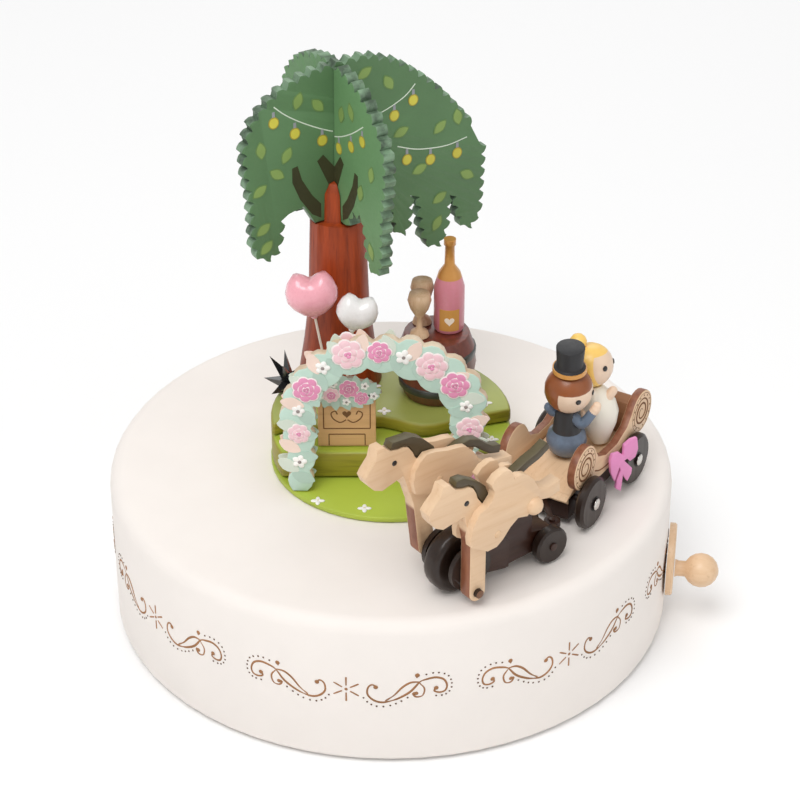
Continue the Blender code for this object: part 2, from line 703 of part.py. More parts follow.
def build_drive():
    spindle_bottom = PLATE_TOP + GAP
    add_object("centre_spindle", rod(SPINDLE_RADIUS, spindle_bottom, ARM_TOP), "steel")
    pitch_line = KEY_HEIGHT + OUTPUT_RADIUS
    tip = pitch_line - 0.9 * OUTPUT_MODULE
    root = pitch_line + 1.15 * OUTPUT_MODULE
    web = root + 0.0003
    top = web + CROWN_WEB
    pitch = math.tau / OUTPUT_TEETH
    bore = SPINDLE_RADIUS + RUNNING_GAP
    inner = OUTPUT_RADIUS - OUTPUT_FACE / 2
    outer = OUTPUT_RADIUS + OUTPUT_FACE / 2
    hub_top = ARM_BOTTOM - GAP
    columns = []
    for tooth in range(OUTPUT_TEETH):
        centre = KEY_AZIMUTH + tooth * pitch
        for share, low in ((-0.30, root), (-0.11, tip), (0.11, tip), (0.30, root)):
            column = [(bore, hub_top), (HUB_RADIUS, hub_top), (HUB_RADIUS, top), (outer, top),
                      (outer, low), (inner, low), (inner, web), (bore, web)]
            columns.append((centre + share * pitch, column))
    add_object("crown_gear", rings(columns), "brass")
    arm_direction = team_magnet_azimuth()
    half = ARM_WIDTH / 2
    reach = MAGNET_REACH + half
    arm = add_object("drive_arm", box(0.0, MAGNET_REACH, -half, half, ARM_BOTTOM, ARM_TOP), "bare_wood",
                     rotation=(0, 0, arm_direction))
    overlap = 0.0001
    boss = rod(ARM_BOSS_RADIUS, ARM_BOTTOM - overlap, ARM_TOP + overlap, 20)
    join(arm, boss)
    tip_disc = moved(rod(MAGNET_RADIUS + 0.001, ARM_BOTTOM - overlap, ARM_TOP + overlap, 20), x=MAGNET_REACH)
    join(arm, tip_disc)
    cut(arm, rod(SPINDLE_RADIUS + RUNNING_GAP, ARM_BOTTOM - 0.002, ARM_TOP + 0.002))
    x, y = polar(0.0, 0.0, MAGNET_REACH, arm_direction)
    magnet = rod(MAGNET_RADIUS, ARM_TOP + GAP, ARM_TOP + GAP + MAGNET_HEIGHT, 20)
    add_object("arm_magnet", magnet, "magnet", location=(x, y, 0))


def team_magnet_azimuth():
    """The magnet lies under the middle of the horse team."""
    x, y = polar(TEAM_X, TEAM_Y, -TEAM_WHEELBASE / 2, TEAM_HEADING)
    return math.atan2(y, x)


# Garden terraces

def upper_front(x):
    """Front edge of the upper terrace: a wave across the garden."""
    turn = math.tau * (x - UPPER_TERRACE_CREST) / UPPER_TERRACE_WAVELENGTH
    return UPPER_TERRACE_FRONT + UPPER_TERRACE_WAVE * math.cos(turn)


def terrace_arc(radius, start_y, end_y, steps):
    """The round back of a terrace, from its right front corner to its left one."""
    start = math.degrees(math.asin((start_y - GARDEN_Y) / radius))
    end = 180 - math.degrees(math.asin((end_y - GARDEN_Y) / radius))
    return arc(GARDEN_X, GARDEN_Y, radius, start, end, steps)


def round_top_edges(obj):
    bevel = obj.modifiers.new("rounded_edge", "BEVEL")
    bevel.width = TERRACE_EDGE
    bevel.segments = 1
    bevel.limit_method = "ANGLE"
    bevel.angle_limit = math.radians(60)


def build_garden():
    ground = moved(rod(GROUND_RADIUS, DECK_HEIGHT + GAP, GROUND_TOP, 48), x=GARDEN_X, y=GARDEN_Y)
    add_object("ground_disc", ground, "grass_light")
    lower_outline = terrace_arc(TERRACE_RADIUS, LOWER_TERRACE_FRONT, LOWER_TERRACE_FRONT, 36)
    lower = add_object("lower_terrace", prism(lower_outline, GROUND_TOP + GAP, LOWER_TOP), "grass_olive")
    round_top_edges(lower)
    right = 0.0245
    left = -0.0295
    steps = 14
    front = []
    for i in range(steps + 1):
        x = left + (right - left) * i / steps
        front.append((x, upper_front(x)))
    upper_outline = front + terrace_arc(TERRACE_RADIUS, 0.0005, -0.0075, 30)
    upper = add_object("upper_terrace", prism(upper_outline, LOWER_TOP + GAP, UPPER_TOP), "grass_light")
    round_top_edges(upper)


# Tree: a turned trunk with a cross slot, and two slotted boards of foliage

def build_tree():
    base = UPPER_TOP + GAP
    shoulder = UPPER_TOP + TRUNK_SHOULDER
    top = UPPER_TOP + TRUNK_HEIGHT
    dome = 0.0045
    profile = [(0.0, base), (TRUNK_FOOT_RADIUS, base), (TRUNK_FOOT_RADIUS * 0.93, base + 0.006),
               (TRUNK_FOOT_RADIUS * 0.83, base + 0.014), (TRUNK_WAIST_RADIUS, base + 0.026),
               (TRUNK_SHOULDER_RADIUS, shoulder), (TRUNK_TENON_RADIUS, shoulder + 0.0002),
               (TRUNK_TENON_RADIUS * 0.95, top - dome), (TRUNK_TENON_RADIUS * 0.7, top - dome * 0.35),
               (0.0, top)]
    trunk = add_object("tree_trunk", turned(profile, 24), "trunk_brown", location=(TREE_X, TREE_Y, 0))
    half_slot = BOARD_THICKNESS / 2 + GAP
    reach = TRUNK_FOOT_RADIUS
    slot_floor = shoulder - 0.0004
    for turn in (TREE_TURN, TREE_TURN - math.pi / 2):
        slot = box(-reach, reach, -half_slot, half_slot, slot_floor, top + 0.01)
        bmesh.ops.rotate(slot, cent=(0, 0, 0), matrix=Matrix.Rotation(turn, 3, "Z"), verts=slot.verts)
        cut(trunk, slot)
    board_bottom = shoulder + GAP
    middle = board_bottom + BOARD_HEIGHT / 2
    build_foliage("foliage_board_a", TREE_TURN, board_bottom, (middle, board_bottom - 0.01))
    build_foliage("foliage_board_b", TREE_TURN - math.pi / 2, board_bottom, (middle, board_bottom + 0.08))


def foliage_outline(bottom, long_side):
    """Willow crown seen square on; the long side, where there is one, is towards +X."""
    crown = [(0.0105, 0.0), (0.0165, 0.0015), (0.0185, -0.007), (0.0205, -0.0125), (0.0232, -0.009),
             (0.0240, 0.0005), (0.0262, 0.0035), (0.0276, -0.006), (0.0290, -0.0155), (0.0335, -0.0195),
             (0.0365, -0.0130), (0.0372, -0.004), (0.0392, 0.0005), (0.0405, -0.0090), (0.0442, -0.0160),
             (0.0480, -0.0110), (0.0486, 0.0010), (0.0490, 0.0110), (0.0450, 0.0190), (0.0400, 0.0250),
             (0.0340, 0.0320), (0.0270, 0.0385), (0.0190, 0.0445), (0.0100, 0.0480), (0.0020, 0.0480),
             (-0.0080, 0.0470), (-0.0160, 0.0448), (-0.0220, 0.0412), (-0.0272, 0.0360), (-0.0302, 0.0290),
             (-0.0300, 0.0210), (-0.0285, 0.0120), (-0.0282, 0.0030), (-0.0280, -0.0040), (-0.0250, -0.0085),
             (-0.0205, -0.0055), (-0.0196, 0.0020), (-0.0180, 0.0070), (-0.0120, 0.0065), (-0.0085, 0.0)]
    if not long_side:
        short = [point for point in crown if point[0] < 0.0]
        crown = [(-x, z) for x, z in reversed(short)] + [(0.0, 0.0480)] + short
    closed_foot = 2
    leaves = leafy(crown[:-closed_foot], LEAF_PITCH, LEAF_DEPTH)
    outline = leaves + crown[-closed_foot:]
    return [(x, bottom + z) for x, z in outline]


def build_foliage(name, turn, bottom, slot_heights):
    outline = foliage_outline(bottom, name == "foliage_board_a")
    half = BOARD_THICKNESS / 2
    board = add_object(name, slab(outline, -half, half), "leaf_green", location=(TREE_X, TREE_Y, 0),
                       rotation=(0, 0, turn))
    start, end = slot_heights
    slot_half = half + GAP
    overlap = GAP / 2 if end > start else -GAP / 2
    low, high = sorted((start - overlap, end))
    cut(board, box(-slot_half, slot_half, -0.01, 0.01, low, high))


# Keg with a bottle and two goblets

def build_table():
    base = UPPER_TOP + GAP
    top = base + KEG_HEIGHT
    profile = [(0.0, base), (KEG_END_RADIUS, base)]
    hoops = (0.22, 0.72)
    swell = KEG_BELLY_RADIUS - KEG_END_RADIUS

    def radius(share):
        return KEG_END_RADIUS + swell * math.sin(math.pi * share)

    for share in hoops:
        z = base + KEG_HEIGHT * share
        profile += [(radius(share), z - HOOP_HEIGHT / 2), (radius(share) + HOOP_RELIEF, z - HOOP_HEIGHT / 2),
                    (radius(share) + HOOP_RELIEF, z + HOOP_HEIGHT / 2), (radius(share), z + HOOP_HEIGHT / 2)]
        if share == hoops[0]:
            profile += [(radius(0.5), base + KEG_HEIGHT * 0.5)]
    profile += [(KEG_END_RADIUS, top), (0.0, top)]
    add_object("wine_barrel", turned(profile, 24), "keg_brown", location=(KEG_X, KEG_Y, 0))

    stand = top + GAP
    shoulder = stand + BOTTLE_HEIGHT * 0.48
    neck = stand + BOTTLE_HEIGHT * 0.72
    ring = stand + BOTTLE_HEIGHT * 0.93
    crest = stand + BOTTLE_HEIGHT
    profile = [(0.0, stand), (BOTTLE_RADIUS * 0.92, stand), (BOTTLE_RADIUS, stand + 0.0008),
               (BOTTLE_RADIUS, shoulder), (BOTTLE_RADIUS * 0.72, shoulder + 0.0045),
               (BOTTLE_NECK_RADIUS * 1.1, neck),
               (BOTTLE_NECK_RADIUS, ring), (BOTTLE_NECK_RADIUS + 0.0004, ring + 0.0002),
               (BOTTLE_NECK_RADIUS + 0.0004, crest), (0.0, crest)]
    add_object("bottle", turned(profile, 20), "bottle_pink",
               location=(KEG_X + BOTTLE_OFFSET_X, KEG_Y + BOTTLE_OFFSET_Y, 0))

    bowl = stand + GOBLET_HEIGHT * 0.42
    brim = stand + GOBLET_HEIGHT
    profile = [(0.0, stand), (GOBLET_FOOT_RADIUS, stand), (GOBLET_FOOT_RADIUS * 0.85, stand + 0.0014),
               (0.0009, stand + 0.0026), (0.0009, bowl), (GOBLET_RADIUS * 0.8, bowl + GOBLET_HEIGHT * 0.24),
               (GOBLET_RADIUS, bowl + GOBLET_HEIGHT * 0.42), (GOBLET_RADIUS * 0.86, brim),
               (0.0, brim - 0.0002)]
    spots = (("goblet_front", -0.0053, -0.0028), ("goblet_rear", -0.0044, 0.0051))
    for name, dx, dy in spots:
        add_object(name, turned(profile, 16), "beech", location=(KEG_X + dx, KEG_Y + dy, 0))


# Heart balloons on sticks

def heart(width):
    """A puffed heart: a ball with a crease between two lobes and a drawn-in foot."""
    bm = ball(width / 2, 18)
    half = width / 2
    for vertex in bm.verts:
        x, y, z = (value / half for value in vertex.co)
        lobe = min(1.0, abs(x) / 0.55)
        lift = 0.30 * max(0.0, z) * (lobe - 1.0) + 0.18 * lobe * max(0.0, z)
        taper = 1.0 - 0.32 * max(0.0, -z) ** 1.5
        depth = 0.62 + 0.14 * lobe
        vertex.co = Vector((x * taper * half, y * depth * taper * half, (z * HEART_SQUASH + lift) * half))
    return bm


def build_balloons():
    base = UPPER_TOP + GAP
    items = (("balloon_pink", "balloon_pink", BALLOON_WIDTH, (-0.0174, 0.0045), (-0.0224, 0.0045, 0.0950), -0.10),
             ("balloon_white", "balloon_white", BALLOON_SMALL, (-0.0142, 0.0010), (-0.0112, 0.0010, 0.0925), 0.22))
    for name, finish, width, foot, knot, tilt in items:
        centre = Vector(knot) + Vector((math.sin(tilt), 0, math.cos(tilt))) * width * HEART_SQUASH / 2
        bm = heart(width)
        add_object(name, bm, finish, location=centre, rotation=(0, tilt, 0))
        start = Vector((foot[0], foot[1], base))
        end = Vector(knot) - (Vector(knot) - start).normalized() * GAP
        direction = end - start
        stick = rod(STICK_RADIUS, 0.0, direction.length, 6)
        turn = direction.to_track_quat("Z", "Y").to_euler()
        start.z += STICK_RADIUS * math.sin(direction.angle(Vector((0, 0, 1))))
        add_object(f"{name}_stick", stick, "beech", location=start, rotation=turn)


# Arch, sign, garland and bush

def build_arch():
    base = GROUND_TOP + GAP
    outer = [(0.0518, 0.0), (0.0520, 0.0120), (0.0538, 0.0235), (0.0545, 0.0330), (0.0522, 0.0400),
             (0.0470, 0.0455), (0.0400, 0.0500), (0.0320, 0.0520), (0.0240, 0.0515), (0.0150, 0.0505),
             (0.0070, 0.0460), (0.0020, 0.0405), (-0.0018, 0.0330), (-0.0032, 0.0245), (-0.0013, 0.0130),
             (-0.0010, 0.0)]
    inner = [(0.0038, 0.0), (0.0050, 0.0120), (0.0052, 0.0260), (0.0078, 0.0340), (0.0140, 0.0400),
             (0.0220, 0.0425), (0.0300, 0.0415), (0.0380, 0.0375), (0.0440, 0.0320), (0.0462, 0.0240),
             (0.0450, 0.0120), (0.0444, 0.0)]
    outline = leafy(smooth(outer, 2), PETAL_PITCH, PETAL_DEPTH, True) + [outer[-1]]
    outline += leafy(smooth(inner, 2), PETAL_PITCH, PETAL_DEPTH * 0.8, True) + [inner[-1]]
    outline[0] = outer[0]
    outline = [(x, base + max(z, 0.0)) for x, z in outline]
    half = ARCH_THICKNESS / 2
    add_object("flower_arch", slab(outline, -half, half), "arch_mint",
               location=(ARCH_LEFT_X, ARCH_LEFT_Y, 0), rotation=(0, 0, ARCH_TURN))


def build_sign():
    base = LOWER_TOP + GAP
    half = SIGN_WIDTH / 2
    top = base + SIGN_HEIGHT
    outline = [(-half, base), (half, base), (half * 0.985, top), (-half * 0.985, top)]
    add_object("sign_board", slab(outline, SIGN_Y, SIGN_Y + SIGN_THICKNESS), "bare_wood",
               location=(SIGN_CENTRE_X, 0, 0))
    centre = top - 0.0010
    edge = []
    for i in range(24):
        angle = math.tau * i / 24
        ripple = 1.0 + 0.07 * math.cos(9 * angle)
        edge.append((0.0102 * ripple * math.cos(angle), centre + 0.0050 * ripple * math.sin(angle)))
    front = SIGN_Y - GAP - GARLAND_THICKNESS
    add_object("sign_garland", slab(edge, front, SIGN_Y - GAP), "garland",
               location=(SIGN_CENTRE_X - 0.0005, 0, 0))


def build_bush():
    """A tuft of pointed leaves: facets of a low ball drawn out, and held back beside the trunk."""
    bm = bmesh.new()
    bmesh.ops.create_icosphere(bm, subdivisions=1, radius=BUSH_RADIUS)
    to_trunk = Vector((TREE_X - BUSH_X, TREE_Y - BUSH_Y, 0.0)).normalized()
    for face in list(bm.faces):
        direction = face.calc_center_median().normalized()
        tip = bmesh.ops.poke(bm, faces=[face])["verts"][0]
        crowding = max(0.0, direction.dot(to_trunk))
        if direction.z > -0.2 and crowding < 0.6:
            tip.co = direction * (BUSH_RADIUS + BUSH_SPIKE * (0.6 + 0.4 * direction.z) * (1.0 - crowding))
    for vertex in bm.verts:
        vertex.co.z = max(vertex.co.z * 1.2 + BUSH_RADIUS * 0.9, 0.0)
    add_object("leaf_bush", bm, "bush_black", location=(BUSH_X, BUSH_Y, UPPER_TOP + GAP))


# Horse team

HEAD = [(0.0027, 0.0), (0.0027, 0.0164), (0.0037, 0.0214), (0.0049, 0.0272), (0.0080, 0.0267),
        (0.0101, 0.0264), (0.0122, 0.0260), (0.0148, 0.0275), (0.0163, 0.0297), (0.0171, 0.0325),
        (0.0159, 0.0339), (0.0133, 0.0363), (0.0121, 0.0394), (0.0098, 0.0392)]
NECK_TOP = [(0.0082, 0.0371), (0.0056, 0.0362), (0.0036, 0.0360), (0.0022, 0.0352), (0.0011, 0.0332),
            (0.0006, 0.0314), (-0.0020, 0.0276), (-0.0036, 0.0266), (-0.0068, 0.0252)]

# Outlines of each horse from its front foot's pin; X forward, Z up
NEAR_HORSE = {
    "pitch": 0.0,
    "hind": [(-0.0096, 0.0256), (-0.0108, 0.0286), (-0.0126, 0.0292), (-0.0150, 0.0308), (-0.0168, 0.0300),
             (-0.0184, 0.0276), (-0.0214, 0.0261), (-0.0247, 0.0248), (-0.0286, 0.0257), (-0.0288, 0.0221),
             (-0.0249, 0.0212), (-0.0176, 0.0228), (-0.0150, 0.0214), (-0.0119, 0.0220), (-0.0090, 0.0202),
             (-0.0064, 0.0172), (-0.0046, 0.0158), (-0.0027, 0.0152)],
    "torso": [(0.0043, 0.0180), (0.0046, 0.0206), (0.0036, 0.0247), (0.0016, 0.0278), (-0.0013, 0.0291),
              (-0.0030, 0.0310), (-0.0034, 0.0330), (-0.0022, 0.0356), (-0.0040, 0.0374), (-0.0066, 0.0383),
              (-0.0087, 0.0379), (-0.0093, 0.0372), (-0.0102, 0.0344), (-0.0120, 0.0349), (-0.0147, 0.0341),
              (-0.0170, 0.0317), (-0.0187, 0.0285), (-0.0194, 0.0257), (-0.0189, 0.0239), (-0.0152, 0.0204),
              (-0.0119, 0.0212), (-0.0093, 0.0193), (-0.0067, 0.0163), (-0.0046, 0.0147), (-0.0014, 0.0145)],
    "crest": [(0.0074, 0.0392), (0.0048, 0.0391), (0.0001, 0.0362), (-0.0026, 0.0337), (-0.0037, 0.0307),
              (-0.0065, 0.0284)],
    "tail": [(-0.0112, 0.0312), (-0.0140, 0.0334), (-0.0172, 0.0350), (-0.0208, 0.0362), (-0.0245, 0.0384)],
}
FAR_HORSE = {
    "pitch": math.radians(6.7),
    "hind": [(-0.0062, 0.0246), (-0.0090, 0.0246), (-0.0110, 0.0246), (-0.0136, 0.0238), (-0.0168, 0.0222),
             (-0.0210, 0.0198), (-0.0243, 0.0188), (-0.0300, 0.0180), (-0.0302, 0.0152), (-0.0243, 0.0160),
             (-0.0200, 0.0170), (-0.0140, 0.0196), (-0.0092, 0.0182), (-0.0045, 0.0186), (-0.0022, 0.0186)],
    "torso": [(0.0053, 0.0202), (0.0061, 0.0240), (0.0054, 0.0277), (0.0038, 0.0300), (0.0017, 0.0317),
              (-0.0014, 0.0314), (-0.0056, 0.0302), (-0.0099, 0.0296), (-0.0121, 0.0290), (-0.0142, 0.0269),
              (-0.0165, 0.0235), (-0.0160, 0.0200), (-0.0132, 0.0178), (-0.0091, 0.0170), (-0.0037, 0.0178),
              (-0.0016, 0.0182), (0.0016, 0.0189)],
    "crest": [(0.0114, 0.0380), (0.0094, 0.0378), (0.0048, 0.0375), (0.0011, 0.0354), (-0.0025, 0.0317),
              (-0.0034, 0.0290)],
    "tail": [(-0.0098, 0.0262), (-0.0122, 0.0272), (-0.0150, 0.0276), (-0.0178, 0.0266), (-0.0204, 0.0244),
             (-0.0230, 0.0224), (-0.0262, 0.0216)],
}


def pitched(points, angle):
    """The points turned nose down about the front foot's pin."""
    turned_points = []
    for x, z in points:
        turned_points.append((x * math.cos(angle) + z * math.sin(angle),
                              z * math.cos(angle) - x * math.sin(angle)))
    return turned_points


def horse_core(shape):
    """Middle layer of a horse: front leg, head, neck and hind leg."""
    foot = arc(0.0, 0.0, HEAD[0][0], -90, -15, 3)
    heel = arc(0.0, 0.0, HEAD[0][0], 180, 255, 4)
    front = pitched(foot + HEAD + NECK_TOP, shape["pitch"])
    return front + shape["hind"] + pitched([(-HEAD[0][0], 0.0060)] + heel, shape["pitch"])


def mane_outline(shape):
    """Mane: its lower edge follows the neck's top, a gap behind and above it."""
    neck = pitched(NECK_TOP, shape["pitch"])
    lower = [(x - GAP, z + GAP) for x, z in neck]
    return lower + shape["crest"][::-1]


def ribbon(line, width):
    """An outline of even width along a centre line."""
    path = [Vector(point) for point in line]
    left = []
    right = []
    for i, point in enumerate(path):
        before = path[max(i - 1, 0)]
        after = path[min(i + 1, len(path) - 1)]
        direction = (after - before).normalized()
        side = Vector((-direction.y, direction.x)) * width / 2
        left.append(tuple(point + side))
        right.append(tuple(point - side))
    return left + right[::-1]


def build_horse(name, team, side, crank_angle):
    x = CRANK_THROW * math.cos(crank_angle)
    z = CRANK_AXLE_HEIGHT + CRANK_THROW * math.sin(crank_angle)
    place = (x, 0, z)
    inner = HORSE_CORE_Y
    outer = HORSE_CORE_Y + HORSE_CORE
    overlap = 0.0001

    def between(a, b):
        return (a, b) if side > 0 else (-b, -a)

    shape = NEAR_HORSE if side > 0 else FAR_HORSE
    core = slab(horse_core(shape), *between(inner, outer))
    horse = add_object(f"{name}_horse", core, "horse_wood", team, place)
    join(horse, slab(shape["torso"], *between(outer - overlap, outer + HORSE_OUTER_HALF)))
    join(horse, slab(shape["torso"], *between(inner - HORSE_INNER_HALF, inner + overlap)))
    pin_bore = rod(CRANK_PIN_RADIUS + RUNNING_GAP, inner - 0.002, outer + 0.002)
    cut(horse, moved(pin_bore, rotation=Z_TO_Y if side > 0 else Z_TO_Y.inverted()))
    bead_y = side * (outer + BEAD_RADIUS * 0.7)
    join(horse, moved(ball(BEAD_RADIUS, 12), x=BEAD_X, y=bead_y, z=BEAD_Z))
    slot = between(inner + overlap + GAP, outer - overlap - GAP)
    add_object(f"{name}_mane", slab(mane_outline(shape), *slot), "mane", team, place)
    add_object(f"{name}_tail", slab(ribbon(shape["tail"], TAIL_WIDTH), *slot), "mane", team, place)


def build_crank_wheel(team):
    """Front wheel, its axle, and a crank web and pin on each side."""
    half = CRANK_WHEEL_WIDTH / 2
    rim = CRANK_WHEEL_RADIUS
    soft = 0.0018
    profile = [(0.0, -half), (rim * 0.55, -half + 0.0008), (rim - soft, -half)]
    profile += arc(rim - soft, -half + soft, soft, -60, 0, 2)
    profile += arc(rim - soft, half - soft, soft, 0, 60, 2)
    profile += [(rim - soft, half), (rim * 0.55, half - 0.0008), (0.0, half)]
    body = moved(turned(profile, 32), rotation=Z_TO_Y)
    wheel = add_object("crank_wheel", body, "wheel_dark", team, location=(0, 0, CRANK_AXLE_HEIGHT))
    web_start = CRANK_WEB_Y
    web_end = web_start + CRANK_WEB
    pin_end = web_end + GAP + HORSE_CORE + 0.0012
    join(wheel, moved(rod(AXLE_RADIUS, -web_start - 0.0004, web_start + 0.0004), rotation=Z_TO_Y))
    for side, angle in ((1, NEAR_CRANK_ANGLE), (-1, FAR_CRANK_ANGLE)):
        turn = Z_TO_Y if side > 0 else Z_TO_Y.inverted()
        join(wheel, moved(rod(CRANK_WEB_RADIUS, web_start, web_end, 20), rotation=turn))
        pin = moved(rod(CRANK_PIN_RADIUS, web_end - 0.0006, pin_end), rotation=turn)
        join(wheel, moved(pin, x=CRANK_THROW * math.cos(angle), z=CRANK_THROW * math.sin(angle)))


def build_team(team):
    fork_front = 0.0042
    rear = -TEAM_WHEELBASE - 0.0028
    spine = 0.0042
    top = CRANK_AXLE_HEIGHT + 0.0042
    cheek = arc(0.0, CRANK_AXLE_HEIGHT, fork_front, 90, -90, 8)
    cheek += [(-0.0135, 0.0034), (-0.0150, 0.0034), (-0.0150, 0.0120), (-0.0125, top)]
    inner = FORK_Y
    outer = FORK_Y + FORK_THICKNESS
    beam = [(-0.0125, 0.0036), (rear, 0.0046), (rear, 0.0094), (POST_X - POST_RADIUS, 0.0110)]
    beam += arc(POST_X, POST_TOP - POST_RADIUS, POST_RADIUS, 180, 0, 8)
    beam += [(POST_X + POST_RADIUS, 0.0145), (-0.0125, 0.0135)]
    chassis = add_object("team_chassis", slab(beam, -spine, spine), "dark_wood", team)
    for near, far in ((inner, outer), (-outer, -inner)):
        join(chassis, slab(cheek, near, far))
    axle_bore = rod(AXLE_RADIUS + RUNNING_GAP, -0.01, 0.01)
    cut(chassis, moved(axle_bore, z=CRANK_AXLE_HEIGHT, rotation=Z_TO_Y))
    join(chassis, box(-HITCH_REACH - HITCH_PIN_RADIUS, rear + 0.001, -0.0022, 0.0022,
                      HITCH_HEIGHT - GAP - HITCH_TONGUE, HITCH_HEIGHT - GAP))
    pin = rod(HITCH_PIN_RADIUS, HITCH_HEIGHT - HITCH_TONGUE, HITCH_HEIGHT + HITCH_EYE_THICKNESS + 0.0006)
    join(chassis, moved(pin, x=-HITCH_REACH))
    wheel_start = spine + GAP
    wheel_end = wheel_start + REAR_WHEEL_WIDTH
    axle = rod(0.0012, -wheel_end - 0.0004, wheel_end + 0.0004)
    join(chassis, moved(axle, x=-TEAM_WHEELBASE, z=REAR_AXLE_HEIGHT, rotation=Z_TO_Y))
    for name, side in (("outer", 1), ("inner", -1)):
        bore = 0.0012 + RUNNING_GAP
        profile = [(bore, wheel_start), (REAR_WHEEL_RADIUS - 0.0006, wheel_start),
                   (REAR_WHEEL_RADIUS, wheel_start + 0.0006), (REAR_WHEEL_RADIUS, wheel_end - 0.0006),
                   (REAR_WHEEL_RADIUS - 0.0006, wheel_end), (bore, wheel_end)]
        turn = Z_TO_Y if side > 0 else Z_TO_Y.inverted()
        add_object(f"team_wheel_{name}", moved(turned(profile, 18), rotation=turn), "wheel_dark", team,
                   location=(-TEAM_WHEELBASE, 0, REAR_AXLE_HEIGHT))
    build_crank_wheel(team)
    build_horse("near", team, 1, NEAR_CRANK_ANGLE)
    build_horse("far", team, -1, FAR_CRANK_ANGLE)


# Carriage

def panel_outline():
    """Side panel: a scroll at each end and a low waist between them."""
    outline = arc(FRONT_SCROLL, SCROLL_HEIGHT, SCROLL_RADIUS, -115, 150, 16)
    outline += [(0.0060, 0.0190), (0.0010, 0.0168), (-0.0060, 0.0166), (-0.0125, 0.0190)]
    outline += arc(REAR_SCROLL, SCROLL_HEIGHT, SCROLL_RADIUS, 25, 285, 16)
    outline += [(-0.0140, 0.0118), (-0.0060, 0.0112), (0.0040, 0.0112)]
    return outline


def build_carriage(carriage, hitch):
    half = CARRIAGE_WHEELBASE / 2
    front = half + 0.0040
    rear = -half - 0.0040
    chassis = add_object("carriage_chassis", box(rear, front, -CHASSIS_HALF_WIDTH, CHASSIS_HALF_WIDTH,
                                                 CHASSIS_BOTTOM, CHASSIS_TOP), "dark_wood", carriage)
    axle_end = WHEEL_INSIDE + WHEEL_WIDTH + GAP
    for x in (half, -half):
        axle = moved(rod(0.0010, -axle_end, axle_end), x=x, z=CARRIAGE_AXLE_HEIGHT, rotation=Z_TO_Y)
        join(chassis, axle)
        for turn in (Z_TO_Y, Z_TO_Y.inverted()):
            head = rod(NAIL_RADIUS, axle_end - 0.0001, axle_end + NAIL_HEAD, 10)
            join(chassis, moved(head, x=x, z=CARRIAGE_AXLE_HEIGHT, rotation=turn))
    to_hitch = Vector((hitch[0], hitch[1], 0)) - Vector((front - 0.001, 0, 0))
    turn = math.atan2(to_hitch.y, to_hitch.x)
    reach = to_hitch.length - HITCH_EYE_RADIUS + 0.0006
    bar = box(0.0, reach, -HITCH_BAR, HITCH_BAR, HITCH_HEIGHT, HITCH_HEIGHT + HITCH_EYE_THICKNESS)
    bmesh.ops.rotate(bar, cent=(0, 0, 0), matrix=Matrix.Rotation(turn, 3, "Z"), verts=bar.verts)
    join(chassis, moved(bar, x=front - 0.001))
    overlap = 0.0001
    eye = rod(HITCH_EYE_RADIUS, HITCH_HEIGHT - overlap, HITCH_HEIGHT + HITCH_EYE_THICKNESS + overlap, 16)
    join(chassis, moved(eye, x=hitch[0], y=hitch[1]))
    eye_top = HITCH_HEIGHT + HITCH_EYE_THICKNESS
    bore = rod(HITCH_PIN_RADIUS + RUNNING_GAP, HITCH_HEIGHT - 0.001, eye_top + 0.001)
    cut(chassis, moved(bore, x=hitch[0], y=hitch[1]))

    floor = [(rear - 0.0015, FLOOR_BOTTOM), (front + GAP, FLOOR_BOTTOM),
             (front + GAP, FLOOR_BOTTOM - 0.0030), (front + 0.0022, FLOOR_BOTTOM - 0.0012),
             (front - 0.0060, FLOOR_TOP), (rear - 0.0015, FLOOR_TOP)]
    boards = (("carriage_floor", floor, -FLOOR_HALF_WIDTH, FLOOR_HALF_WIDTH),
              ("carriage_panel_outer", panel_outline(), PANEL_INSIDE, PANEL_OUTSIDE),
              ("carriage_panel_inner", panel_outline(), -PANEL_OUTSIDE, -PANEL_INSIDE))
    for name, outline, near, far in boards:
        add_object(name, slab(outline, near, far), "bare_wood", carriage)
    back = [(REAR_SCROLL + 0.0030, FLOOR_TOP + GAP), (REAR_SCROLL + 0.0058, FLOOR_TOP + GAP),
            (REAR_SCROLL + 0.0040, SCROLL_HEIGHT + 0.0040), (REAR_SCROLL + 0.0006, SCROLL_HEIGHT + 0.0052),
            (REAR_SCROLL - 0.0010, SCROLL_HEIGHT + 0.0030), (REAR_SCROLL + 0.0018, SCROLL_HEIGHT)]
    seat_back = slab(back, -FLOOR_HALF_WIDTH, FLOOR_HALF_WIDTH)
    add_object("carriage_seat_back", seat_back, "bare_wood", carriage)
    bore = 0.0010 + RUNNING_GAP
    start = WHEEL_INSIDE
    end = WHEEL_INSIDE + WHEEL_WIDTH
    profile = [(bore, start), (WHEEL_RADIUS - 0.0008, start), (WHEEL_RADIUS, start + 0.0008),
               (WHEEL_RADIUS, end - 0.0008), (WHEEL_RADIUS - 0.0008, end), (bore, end)]
    for name, x, side in (("front_outer", half, 1), ("front_inner", half, -1),
                          ("rear_outer", -half, 1), ("rear_inner", -half, -1)):
        turn = Z_TO_Y if side > 0 else Z_TO_Y.inverted()
        add_object(f"carriage_wheel_{name}", moved(turned(profile, 24), rotation=turn), "wheel_dark",
                   carriage, location=(x, 0, CARRIAGE_AXLE_HEIGHT))
    build_bow(carriage)


